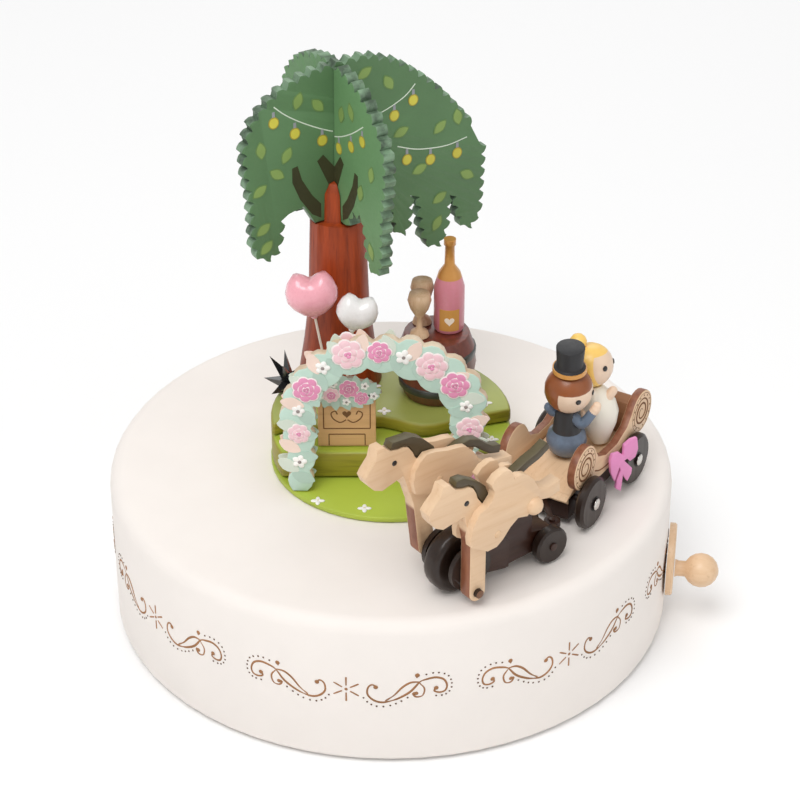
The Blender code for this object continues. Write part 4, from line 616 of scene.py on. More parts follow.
def run_maker(name, kind, mesh, finish, **inputs):
    """Runs a tree on a guide mesh and returns the result as a plain mesh object."""
    tree = maker(kind)
    guide = mesh_piece(name + "_guide", mesh)
    modifier = guide.modifiers.new("maker", "NODES")
    modifier.node_group = tree.group
    identifiers = {item.name: item.identifier for item in tree.group.interface.items_tree
                   if item.in_out == "INPUT"}
    modifier[identifiers["Finish"]] = finish
    for label, value in inputs.items():
        modifier[identifiers[label]] = value
    bpy.context.view_layer.update()
    evaluated = guide.evaluated_get(bpy.context.evaluated_depsgraph_get())
    result = bpy.data.meshes.new_from_object(evaluated)
    guide.modifiers.remove(modifier)
    bpy.data.objects.remove(guide)
    result.name = name
    result.shade_smooth()
    return mesh_piece(name, result)


def point_mesh(name, points):
    """A mesh of loose points; each is (place, direction, size)."""
    mesh = bpy.data.meshes.new(name)
    mesh.from_pydata([tuple(place) for place, _, _ in points], [], [])
    facing = mesh.attributes.new("facing", "FLOAT_VECTOR", "POINT")
    facing.data.foreach_set("vector", [value for _, direction, _ in points for value in direction])
    size = mesh.attributes.new("size", "FLOAT", "POINT")
    size.data.foreach_set("value", [scale for _, _, scale in points])
    return mesh


def path_mesh(name, paths):
    """A mesh of open edge chains; each is a list of (place, width)."""
    places = []
    edges = []
    widths = []
    for path in paths:
        first = len(places)
        places += [tuple(place) for place, _ in path]
        widths += [width for _, width in path]
        edges += [(first + i, first + i + 1) for i in range(len(path) - 1)]
    mesh = bpy.data.meshes.new(name)
    mesh.from_pydata(places, edges, [])
    attribute = mesh.attributes.new("width", "FLOAT", "POINT")
    attribute.data.foreach_set("value", widths)
    return mesh


def studs(name, points, radius, height, finish, segments, rings):
    return run_maker(name, "studs", point_mesh(name, points), finish, Radius=radius, Height=height,
                     Segments=segments, Rings=rings)


def lines(name, paths, finish, sides):
    return run_maker(name, "lines", path_mesh(name, paths), finish, Width=1.0, Sides=sides)


def petals(name, points, finish, count, ring, long, wide, thick, turn=0.0):
    return run_maker(name, "petals", point_mesh(name, points), finish, Petals=count, Ring=ring, Long=long,
                     Wide=wide, Thick=thick, Turn=turn)


# Flat prints on boards, panels and the drum

def smooth(points, steps=5):
    """A smooth curve that runs through all the points, flat or spatial."""
    path = [Vector(point) for point in points]
    path = [2 * path[0] - path[1]] + path + [2 * path[-1] - path[-2]]
    curve = []
    for i in range(1, len(path) - 2):
        a, b, c, d = path[i - 1:i + 3]
        for step in range(steps):
            t = step / steps
            curve.append(0.5 * (2 * b + (c - a) * t + (2 * a - 5 * b + 4 * c - d) * t * t
                                + (3 * b - a - 3 * c + d) * t ** 3))
    curve.append(path[-2])
    return curve


class Flat:
    """A flat face: places (u, v) and a height over it."""

    def __init__(self, origin, across, up, out):
        self.origin, self.across, self.up, self.out = Vector(origin), Vector(across), Vector(up), Vector(out)

    def at(self, u, v, h=0.0):
        return self.origin + self.across * u + self.up * v + self.out * h


class Round:
    """A round upright side: u runs round it, v is the height above its foot."""

    def __init__(self, radius, start, foot=(0, 0, 0)):
        self.radius, self.start, self.foot = radius, start, Vector(foot)

    def at(self, u, v, h=0.0):
        angle = self.start + u / self.radius
        reach = self.radius + h
        return Vector((reach * math.cos(angle), reach * math.sin(angle), v)) + self.foot

    def facing(self, u):
        angle = self.start + u / self.radius
        return Vector((math.cos(angle), math.sin(angle), 0.0))


class Print:
    """Collects thin patches of one finish on one or more faces."""

    def __init__(self, name, finish):
        self.name, self.finish, self.bm = name, finish, bmesh.new()

    def patch(self, face, outline, top, bottom=-0.0002):
        high = [self.bm.verts.new(face.at(u, v, top)) for u, v in outline]
        low = [self.bm.verts.new(face.at(u, v, bottom)) for u, v in outline]
        count = len(outline)
        made = [self.bm.faces.new(high), self.bm.faces.new(low[::-1])]
        for i in range(count):
            j = (i + 1) % count
            made.append(self.bm.faces.new([high[j], high[i], low[i], low[j]]))
        middle = sum((vert.co for vert in high), Vector()) / count
        foot = sum((vert.co for vert in low), Vector()) / count
        made[0].normal_update()
        if made[0].normal.dot(middle - foot) < 0:
            bmesh.ops.reverse_faces(self.bm, faces=made)

    def blob(self, face, u, v, ru, rv, top, turn=0.0, points=14, pointed=0.0):
        """An ellipse, or a leaf when pointed is near 1."""
        outline = []
        for i in range(points):
            angle = math.tau * i / points
            x = ru * math.cos(angle)
            y = rv * math.sin(angle) * (1 - pointed * abs(math.cos(angle)) ** 2)
            outline.append((u + x * math.cos(turn) - y * math.sin(turn),
                            v + x * math.sin(turn) + y * math.cos(turn)))
        self.patch(face, outline, top)

    def piece(self, body):
        mesh = bpy.data.meshes.new(self.name)
        self.bm.to_mesh(mesh)
        self.bm.free()
        mesh.materials.append(self.finish)
        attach(mesh_piece(self.name, mesh), body)


def solid(name, bm, finish, body, smooth_angle=40):
    """A finished piece of the object's own form."""
    bmesh.ops.remove_doubles(bm, verts=bm.verts, dist=0.00001)
    bmesh.ops.recalc_face_normals(bm, faces=bm.faces)
    mesh = bpy.data.meshes.new(name)
    bm.to_mesh(mesh)
    bm.free()
    mesh.materials.append(finish)
    mesh.shade_smooth()
    mesh.set_sharp_from_angle(angle=math.radians(smooth_angle))
    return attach(mesh_piece(name, mesh), body)


def lathe(profile, sides, matrix):
    """Turned form about Z from (radius, height) points, placed by the matrix."""
    bm = bmesh.new()
    turns = [math.tau * i / sides for i in range(sides)]
    rings = [[bm.verts.new(matrix @ Vector((radius * math.cos(turn), radius * math.sin(turn), height)))
              for turn in turns] for radius, height in profile]
    for low, high in zip(rings, rings[1:]):
        for i in range(sides):
            j = (i + 1) % sides
            bm.faces.new([low[i], low[j], high[j], high[i]])
    return bm


# Drum

SCROLL = {
    "main": [(-25.3, 0.8), (-24.7, -0.6), (-26.2, -1.3), (-27.8, -0.8), (-28.3, 1.0), (-27.4, 3.1),
             (-25.2, 4.1), (-22.7, 3.8), (-20.6, 2.9), (-18.1, -0.2), (-15.3, -2.2), (-12.4, -3.5),
             (-9.7, -4.0), (-7.4, -3.1), (-6.0, -1.2), (-6.2, 1.1), (-7.4, 2.1), (-8.6, 1.2)],
    "branch": [(-20.6, 2.9), (-18.1, 2.8), (-15.7, 1.2), (-13.5, -1.4), (-11.0, -3.5)],
    "curl": [(-20.6, 2.5), (-21.9, 0.5), (-21.4, -1.8), (-19.6, -2.3), (-18.7, -1.1), (-19.9, -0.7)],
    "drop": [(-20.3, 5.9), (-19.7, 4.3)],
}
DOT_LINES = [([(-25.2, -2.3), (-27.3, -2.3), (-28.8, -1.4), (-29.6, 0.3), (-29.5, 2.2), (-28.8, 4.1),
               (-27.2, 5.3), (-24.9, 5.8), (-22.4, 5.4)], 12),
             ([(-17.2, -2.4), (-14.6, -4.1), (-11.9, -5.2), (-9.0, -5.5), (-6.5, -4.5), (-4.9, -2.6)], 9)]
DROPS = [((-8.3, 1.3), 2.3), ((-25.2, 0.4), 2.3), ((-19.6, -1.0), 2.1), ((-19.9, 5.3), 2.4)]
FIRST_STAR = math.radians(-98.6)
STAR_ARMS = 6
STAR_NEAR, STAR_FAR = 0.0013, 0.0041


def scroll_width(part):
    """A burnt line swells in its middle and runs out thin."""
    return 0.55 + 0.75 * math.sin(math.pi * part) ** 0.8


class MUSICBOX_OT_drum(bpy.types.Operator):
    """Paint the drum and burn the scroll ornament round its side"""
    bl_idname = "musicbox.drum"
    bl_label = "Finish Drum and Crank"

    def execute(self, context):
        sizes = ornament()
        ease("drum_shell", painted("drum_paint", paint().drum, rough=0.62, mottling=0.012, texture=0.08))
        dress("bottom_plate", wooden("plate_wood", wood().beech, wood().beech_grain, (0, 1, 0), rough=0.6))
        feet = painted("foot_rubber", linear(38, 38, 38), rough=0.8, texture=0.3)
        for number in (1, 2, 3):
            dress(f"rubber_foot_{number}", feet)
        crank = wooden("crank_wood", wood().beech, wood().beech_grain, KEY_AXIS, rough=0.42, coat=0.35)
        ease("crank_disc", wooden("crank_disc_wood", wood().beech, wood().beech_grain, (0, 0, 1),
                                  rough=0.45, coat=0.25))
        ease("crank_knob", crank)
        burnt = painted("burnt_line", wood().burnt, rough=0.7, mottling=0.25, texture=0.5)
        paths = []
        dots = []
        drop_dots = []
        for group in range(sizes.groups):
            start = FIRST_STAR + math.tau * group / sizes.groups
            face = Round(DRUM_RADIUS, start)
            for side in (1, -1):
                for points in SCROLL.values():
                    curve = smooth(points, 4)
                    total = len(curve) - 1
                    stroke = []
                    for i, p in enumerate(curve):
                        wide = sizes.line * scroll_width(i / total)
                        u, v = side * p.x / 1000, sizes.height + p.y / 1000
                        stroke.append((face.at(u, v, sizes.relief - wide), wide))
                    paths.append(stroke)
                for points, count in DOT_LINES:
                    curve = smooth(points, 12)
                    for i in range(count):
                        p = curve[round(i * (len(curve) - 1) / (count - 1))]
                        u = side * p.x / 1000
                        dots.append((face.at(u, sizes.height + p.y / 1000), face.facing(u), 1.0))
                for point, scale in DROPS:
                    u = side * point[0] / 1000
                    drop_dots.append((face.at(u, sizes.height + point[1] / 1000), face.facing(u), scale))
            for arm in range(STAR_ARMS):
                angle = math.pi / 2 + math.tau * arm / STAR_ARMS
                path = []
                for i in range(5):
                    reach = STAR_NEAR + (STAR_FAR - STAR_NEAR) * i / 4
                    wide = sizes.line * (0.5 + 0.35 * i / 4)
                    u, v = reach * math.cos(angle), sizes.height + reach * math.sin(angle)
                    path.append((face.at(u, v, sizes.relief - wide), wide))
                paths.append(path)
            drop_dots.append((face.at(0, sizes.height), face.facing(0), 1.6))
        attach(lines("drum_scrolls", paths, burnt, sides=6), "base")
        dark_dot = painted("burnt_dot", darker(wood().burnt, 0.35), rough=0.8, mottling=0.2)
        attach(studs("drum_dots", dots, sizes.dot, sizes.relief, dark_dot, segments=8, rings=4), "base")
        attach(studs("drum_drops", drop_dots, sizes.dot, sizes.relief * 0.8, burnt, segments=8, rings=4),
                "base")
        return {"FINISHED"}


# Movement

class MUSICBOX_OT_movement(bpy.types.Operator):
    """Give the spring movement, its comb and the drive arm their metals, and add the screws"""
    bl_idname = "musicbox.movement"
    bl_label = "Finish Movement"

    def execute(self, context):
        brass = metal("movement_brass", linear(206, 170, 96), rough=0.28, along=KEY_AXIS)
        steel = metal("movement_steel", linear(190, 190, 194), rough=0.25, along=KEY_AXIS)
        for node in ("movement_bedplate", "spring_barrel", "pinned_cylinder", "governor_fan", "crown_gear"):
            dress(node, brass)
        for node in ("winding_shaft", "steel_comb", "centre_spindle", "arm_magnet"):
            dress(node, steel)
        dress("drive_arm", wooden("arm_wood", wood().beech, wood().beech_grain, (0.4, -0.9, 0), rough=0.55))
        comb_low, comb_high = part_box("steel_comb")
        local = KEY.inverted()
        corners = [local @ Vector((x, y, 0)) for x in (comb_low.x, comb_high.x)
                   for y in (comb_low.y, comb_high.y)]
        middle_x = sum(corner.x for corner in corners) / 4
        comb_top = comb_high.z + 0.0002
        screws = [(middle_x + shift, 0.0405, comb_top) for shift in (-0.007, 0.007)]
        screws += [(x, y, BED_TOP) for x, y in ((0.0155, -0.0115), (0.0590, -0.0115), (0.0300, 0.0410))]
        heads = []
        for x, y, height in screws:
            place = KEY @ Vector((x, y, 0.0))
            place.z = height
            heads.append((place, UP, 1.0))
        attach(studs("movement_screws", heads, 0.0016, 0.0007, steel, segments=16, rings=8), "base")
        return {"FINISHED"}


# Garden

LAWN_FLOWERS = [(-0.0215, -0.0275, "ground_disc"), (-0.0078, -0.0315, "ground_disc"),
                (-0.0020, -0.0005, "upper_terrace"), (0.0285, 0.0040, "upper_terrace"),
                (0.0300, -0.0090, "lower_terrace"), (0.0010, 0.0290, "upper_terrace"),
                (0.0240, 0.0220, "upper_terrace"), (-0.0050, 0.0140, "upper_terrace"),
                (0.0150, -0.0290, "ground_disc")]


class MUSICBOX_OT_garden(bpy.types.Operator):
    """Stain the terraces green and set the small white flowers"""
    bl_idname = "musicbox.garden"
    bl_label = "Finish Garden"

    def execute(self, context):
        colours = paint()
        ease("ground_disc", self.terrace("lawn_stain", colours.lawn, colours.lawn), bevel=0.0003)
        ease("lower_terrace", self.terrace("bank_stain", colours.lawn, colours.bank), bevel=0.0004)
        ease("upper_terrace", self.terrace("meadow_stain", colours.meadow, colours.bank), bevel=0.0004)
        white = painted("flower_white", linear(246, 244, 240), rough=0.5)
        tops = {name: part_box(name)[1].z for name in ("ground_disc", "lower_terrace", "upper_terrace")}
        flowers = [(Vector((x, y, tops[level] + 0.0001)), UP, 1.0) for x, y, level in LAWN_FLOWERS]
        size = context.scene.box_flowers.lawn
        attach(petals("lawn_flowers", flowers, white, count=4, ring=size * 0.5, long=size * 0.62,
                       wide=size * 0.36, thick=0.00035),
                "base")
        eyes = [(place + Vector((0, 0, 0.0002)), up, 1.0) for place, up, _ in flowers]
        cream = painted("flower_eye", linear(232, 222, 190), rough=0.5)
        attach(studs("lawn_flower_eyes", eyes, 0.0004, 0.0003, cream, segments=8, rings=4), "base")
        return {"FINISHED"}

    def terrace(self, name, top, side):
        """Stained wood: green top, olive side, darker where the stain pools, with grain along the side."""
        made = Finish(name)
        top, side = tuple(top), tuple(side)
        upward = made.dot(made.normal(), (0, 0, 1))
        where = made.position()
        cloud = made.noise(where, 40.0, 4.0)
        fibre = made.noise(made.position((70, 70, 900)), 1.0, 5.0)
        face = made.ramp(cloud, [(0.3, darker(top, 0.94)), (0.7, darker(top, 1.06))])
        bank = made.ramp(fibre, [(0.3, darker(side, 0.62)), (0.5, side), (0.75, darker(side, 1.12))])
        made.set(Base_Color=made.blend(made.step(upward, 0.75, 0.2), bank, face), Coat_Weight=0.12,
                 Coat_Roughness=0.25)
        made.gloss(fibre, 0.42, 0.56)
        made.bump(fibre, 0.2, 0.0002)
        return made.material


# Tree

BOARD_A = Matrix.Rotation(TREE_TURN, 3, "Z") @ Vector((1, 0, 0))
BOARD_B = Matrix.Rotation(TREE_TURN - math.pi / 2, 3, "Z") @ Vector((1, 0, 0))
CROWN_FOOT = 0.1216
WIRES_A = [[(-20.9, 39.1), (-17.9, 36.3), (-14.2, 33.6), (-9.9, 31.0), (-5.5, 28.7), (-2.1, 27.2)],
           [(14.0, 29.4), (16.5, 30.2), (19.6, 31.5), (22.6, 33.2), (25.4, 35.9)],
           [(19.4, 17.2), (24.8, 15.1), (29.4, 14.1), (36.4, 13.5), (43.4, 14.6)]]
BULBS_A = [(-21.1, 34.2), (-14.4, 29.4), (-5.6, 25.2), (18.3, 27.4), (24.7, 30.9), (22.6, 12.2), (30.7, 10.3),
           (40.0, 10.2)]
LEAVES_A = [(-13.2, 39.2, 70), (-6.9, 36.5, -50), (-25.4, 26.6, 95), (-20.5, 18.0, -35), (-26.2, 13.9, 35),
            (-17.2, 23.2, 60), (-25.4, 1.5, 35), (-24.6, -4.6, 45), (16.4, 38.3, 120), (33.9, 20.1, 40),
            (20.6, 21.6, 20), (43.6, 2.2, -30), (34.0, -3.2, 30), (33.2, -11.6, 60), (40.0, 22.0, 100),
            (27.0, 8.0, 20), (8.5, 43.0, 30), (10.0, 20.0, -60), (9.0, 9.0, 60)]
WIRES_B = [[(side * u, v) for u, v in ((2.1, 25.6), (6.5, 27.4), (12.4, 30.7), (19.0, 35.4))]
           for side in (1, -1)]
BULBS_B = [(side * u, v) for side in (1, -1) for u, v in ((4.7, 22.9), (11.9, 26.4), (18.4, 30.6))]
LEAVES_B = [(6.4, 34.2, 80), (12.0, 37.1, 110), (23.4, 22.3, 80), (17.1, 13.9, 80), (23.0, -2.3, 110),
            (-6.4, 34.2, 100), (-12.0, 38.1, 70), (-23.4, 22.3, 100), (-17.1, 13.9, 100), (-23.0, -2.3, 70),
            (-10.0, 20.0, 60), (-9.0, 9.0, 120)]
BRANCHES = [[(15.6, 18.6), (13.8, 19.0), (12.5, 14.3), (9.3, 8.6), (6.4, 5.1), (6.4, 0.5), (9.4, 2.4),
             (13.2, 8.0), (15.6, 14.0)],
            [(7.4, 19.0), (5.4, 20.6), (0.8, 14.6), (0.8, 8.0), (2.6, 8.0)]]


class MUSICBOX_OT_tree(bpy.types.Operator):
    """Print leaves, branches and strings of lights on the foliage boards, and stain the trunk"""
    bl_idname = "musicbox.tree"
    bl_label = "Finish Tree"

    def execute(self, context):
        colours = paint()
        lights = context.scene.box_lights
        trunk = wooden("trunk_stain", wood().trunk, wood().trunk_grain, UP, rough=0.45, coat=0.2,
                       grain=1.6, scale=1.4, contrast=0.8)
        ease("tree_trunk", trunk, bevel=0.0003, angle=40)
        sides = []
        # Board B's print is made 1.35 times as bright as board A's: painted light on the board that faces the
        # key light.
        for node, along, tone in (("foliage_board_a", BOARD_A, 1.0), ("foliage_board_b", BOARD_B, 1.35)):
            out = Vector((along.y, -along.x, 0))
            front, edge = darker(colours.leaf_front, tone), tuple(colours.leaf_edge)
            printed = printed_board(node + "_print", front, edge, out, darker(edge, 0.30))
            leaf_board(node, printed, out, bevel=0.0002)
            for turn in (1, -1):
                origin = TREE_PLACE + out * BOARD_HALF * turn + Vector((0, 0, CROWN_FOOT))
                sides.append((node, Flat(origin, along, (0, 0, 1), out * turn)))
        wire = painted("light_wire", linear(216, 226, 210), rough=0.5, mottling=0.1)
        leaf_rim = painted("leaf_rim", linear(104, 134, 80), rough=0.6)
        leaf = painted("printed_leaf", linear(134, 160, 88), rough=0.55, mottling=0.15)
        bark = painted("printed_branch", linear(60, 60, 34), rough=0.6, mottling=0.12)
        bulb = painted("printed_bulb", colours.bulb, rough=0.45, mottling=0.12)
        rim = painted("bulb_rim", linear(166, 150, 60), rough=0.5)
        cap = painted("bulb_cap", linear(150, 152, 158), rough=0.5)
        prints = {key: Print("tree_" + key, finish) for key, finish in
                  (("branches", bark), ("leaf_rims", leaf_rim), ("leaves", leaf), ("bulb_caps", cap),
                   ("bulb_rims", rim), ("bulbs", bulb))}
        paths = []
        relief = ornament().relief
        size = context.scene.box_flowers.leaf / 2
        for node, face in sides:
            first = node.endswith("a")
            for wires in (WIRES_A if first else WIRES_B):
                paths.append([(face.at(p.x / 1000, p.y / 1000, relief - lights.wire), lights.wire)
                              for p in smooth(wires, 4)])
            for u, v in (BULBS_A if first else BULBS_B):
                u, v = u / 1000, v / 1000
                prints["bulb_caps"].patch(face, [(u - 0.0005, v + 0.0012), (u + 0.0005, v + 0.0012),
                                                 (u + 0.0004, v + 0.0034), (u - 0.0004, v + 0.0034)], relief)
                prints["bulb_rims"].blob(face, u, v, lights.bulb, lights.bulb * 1.08, top=relief * 1.2,
                                         points=18)
                prints["bulbs"].blob(face, u, v, lights.bulb * 0.82, lights.bulb * 0.9, top=relief * 1.6,
                                     points=18)
            for u, v, angle in (LEAVES_A if first else LEAVES_B):
                turn = math.radians(angle)
                u, v = u / 1000, v / 1000
                prints["leaf_rims"].blob(face, u, v, size, size * 0.62, top=relief, turn=turn, points=16,
                                         pointed=0.55)
                prints["leaves"].blob(face, u, v, size * 0.84, size * 0.48, top=relief * 1.5, turn=turn,
                                      points=16, pointed=0.55)
            for mirror in (1, -1):
                for outline in BRANCHES:
                    corners = [(mirror * u / 1000, v / 1000) for u, v in outline]
                    prints["branches"].patch(face, corners, relief * 0.8)
        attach(lines("tree_light_wires", paths, wire, sides=6), "base")
        for item in prints.values():
            item.piece("base")
        return {"FINISHED"}


# Keg, bottle, goblets and balloons

HOOP_PARTS = (0.22, 0.72)
HOOP_HALF = 0.0013
FOIL_PART = 0.585
KNOT_REACH = 0.007


class MUSICBOX_OT_table(bpy.types.Operator):
    """Stain the keg, foil the bottle and finish the goblets and balloons"""
    bl_idname = "musicbox.table"
    bl_label = "Finish Keg and Balloons"

    def execute(self, context):
        self.keg()
        self.bottle()
        self.goblets_and_balloons()
        return {"FINISHED"}

    def keg(self):
        low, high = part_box("wine_barrel")
        made = Finish("keg_stain")
        where = made.position((600, 600, 90))
        fibre = made.noise(where, 1.0, 5.0)
        body = made.ramp(fibre, [(0.3, darker(wood().keg, 0.6)), (0.7, darker(wood().keg, 1.25))])
        height = made.dot(made.position(), (0, 0, 1))
        for part in HOOP_PARTS:
            centre = low.z + (high.z - low.z) * part
            away = made.maths("ABSOLUTE", made.maths("SUBTRACT", height, centre))
            band = made.maths("SUBTRACT", 1.0, made.step(away, HOOP_HALF, 0.0001))
            body = made.blend(band, body, tuple(wood().hoop))
        made.set(Base_Color=body, Coat_Weight=0.5, Coat_Roughness=0.2, Roughness=0.45)
        made.bump(fibre, 0.2, 0.0002)
        ease("wine_barrel", made.material, bevel=0.0002)

    def bottle(self):
        colours = paint()
        low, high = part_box("bottle")
        centre = (low + high) / 2
        made = Finish("bottle_paint")
        position = made.position()
        height = made.dot(position, (0, 0, 1))
        foil = made.step(height, low.z + (high.z - low.z) * FOIL_PART, 0.0001)
        crinkle = made.noise(position, 900.0, 4.0)
        tone = made.blend(foil, tuple(linear(216, 132, 152)), tuple(colours.gold))
        tone = made.blend(made.maths("MULTIPLY", crinkle, 0.25), tone, darker(colours.gold, 0.6))
        made.set(Base_Color=tone, Coat_Weight=0.4, Coat_Roughness=0.15, Roughness=0.4)
        made.set(Metallic=made.maths("MULTIPLY", foil, 0.35))
        made.bump(crinkle, 0.12, 0.0002)
        ease("bottle", made.material, angle=40)
        label = Print("bottle_label", painted("label_ochre", linear(204, 148, 74), rough=0.5))
        side = Round((high.x - low.x) / 2, math.radians(-90), (centre.x, centre.y, low.z))
        foot, top, wide, strips = 0.0012, 0.0083, 0.0062, 10
        for strip in range(strips):
            left = wide * (strip / strips - 0.5)
            right = left + wide / strips
            label.patch(side, [(left, foot), (right, foot), (right, top), (left, top)], 0.00008, -0.0001)
        label.piece("base")
        heart_print = Print("label_heart", painted("label_heart_white", linear(240, 226, 206), rough=0.5))
        heart_print.patch(side, heart_outline(0.0, 0.0046, 0.0016), 0.00016)
        heart_print.piece("base")

    def goblets_and_balloons(self):
        colours = paint()
        # The goblets take the beech and its grain darkened to about 0.8: painted shade on pale beech.
        light, dark = darker(wood().beech, 0.82), darker(wood().beech_grain, 0.8)
        beech = wooden("goblet_wood", light, dark, UP, rough=0.45, coat=0.2, scale=2.0, contrast=0.7)
        for node in ("goblet_front", "goblet_rear"):
            ease(node, beech, angle=40)
        for node, tint in (("balloon_pink", colours.pink), ("balloon_white", colours.white)):
            gloss = painted(node + "_gloss", tint, rough=0.28, coat=0.8, mottling=0.02, texture=0.03)
            ease(node, gloss, angle=60)
        stick = painted("stick_white", linear(232, 220, 206), rough=0.5)
        for node in ("balloon_pink_stick", "balloon_white_stick"):
            ease(node, stick)
        for tone, lean, tint in (("pink", -0.10, colours.pink), ("white", 0.22, colours.white)):
            low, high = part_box("balloon_" + tone)
            middle = (low + high) / 2
            place = Vector((middle.x - math.sin(lean) * KNOT_REACH, middle.y, low.z + 0.0002))
            gloss = painted(f"balloon_knot_{tone}_gloss", tint, rough=0.3, coat=0.6)
            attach(studs("balloon_knot_" + tone, [(place, UP, 1.0)], 0.0011, 0.0009, gloss, segments=12,
                          rings=8), "base")
        dress("leaf_bush", painted("bush_gloss", linear(24, 26, 28), rough=0.22, coat=0.7, mottling=0.1,
                                   texture=0.05))


HEART_POINTS = 20


def heart_outline(u, v, size):
    """Corners of a heart round (u, v); half its width is about the size."""
    outline = []
    for i in range(HEART_POINTS):
        t = math.tau * i / HEART_POINTS
        x = 16 * math.sin(t) ** 3
        y = 13 * math.cos(t) - 5 * math.cos(2 * t) - 2 * math.cos(3 * t) - math.cos(4 * t)
        outline.append((u + size * x / 17, v + size * y / 17))
    return outline[::-1]


# Arch, sign and garland

ARCH_LINE = [(-0.3, 3.5), (0.9, 14.0), (1.0, 25.0), (4.2, 36.5), (10.5, 44.8), (20.0, 48.2), (29.5, 48.0),
             (38.5, 44.5), (45.0, 39.5), (50.0, 31.5), (50.6, 22.0), (50.2, 12.0), (50.0, 3.5)]
ARCH_LEAVES = 34
ARCH_FLOWERS = [(0.06, "white", 1.0), (0.14, "blush", 0.72), (0.205, "white", 0.9), (0.27, "rose", 0.92),
                (0.345, "white", 1.0), (0.42, "blush", 1.05), (0.495, "rose", 0.78), (0.555, "white", 1.1),
                (0.625, "blush", 1.0), (0.70, "rose", 0.95), (0.765, "white", 0.9), (0.83, "blush", 0.85),
                (0.90, "white", 1.0), (0.955, "rose", 0.7)]


def rosette(name, spots, radius, tints):
    """Layered rosettes: white-rimmed rings of round petals, smaller and deeper towards the middle."""
    rim, outer, inner, heart = tints
    layers = ((rim, 7, 0.62, 0.40, 0.42, 0.00022, 0.0), (outer, 7, 0.60, 0.36, 0.38, 0.00034, 0.0),
              (rim, 5, 0.36, 0.30, 0.34, 0.00044, 0.35), (inner, 5, 0.34, 0.26, 0.30, 0.00054, 0.35),
              (rim, 3, 0.15, 0.20, 0.24, 0.00062, 0.8), (heart, 3, 0.14, 0.16, 0.20, 0.00072, 0.8))
    for number, (finish, count, ring, long, wide, thick, turn) in enumerate(layers):
        piece = petals(f"{name}_{number}", spots, finish, count=count, ring=ring * radius, long=long * radius,
                       wide=wide * radius, thick=thick, turn=turn)
        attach(piece, "base")


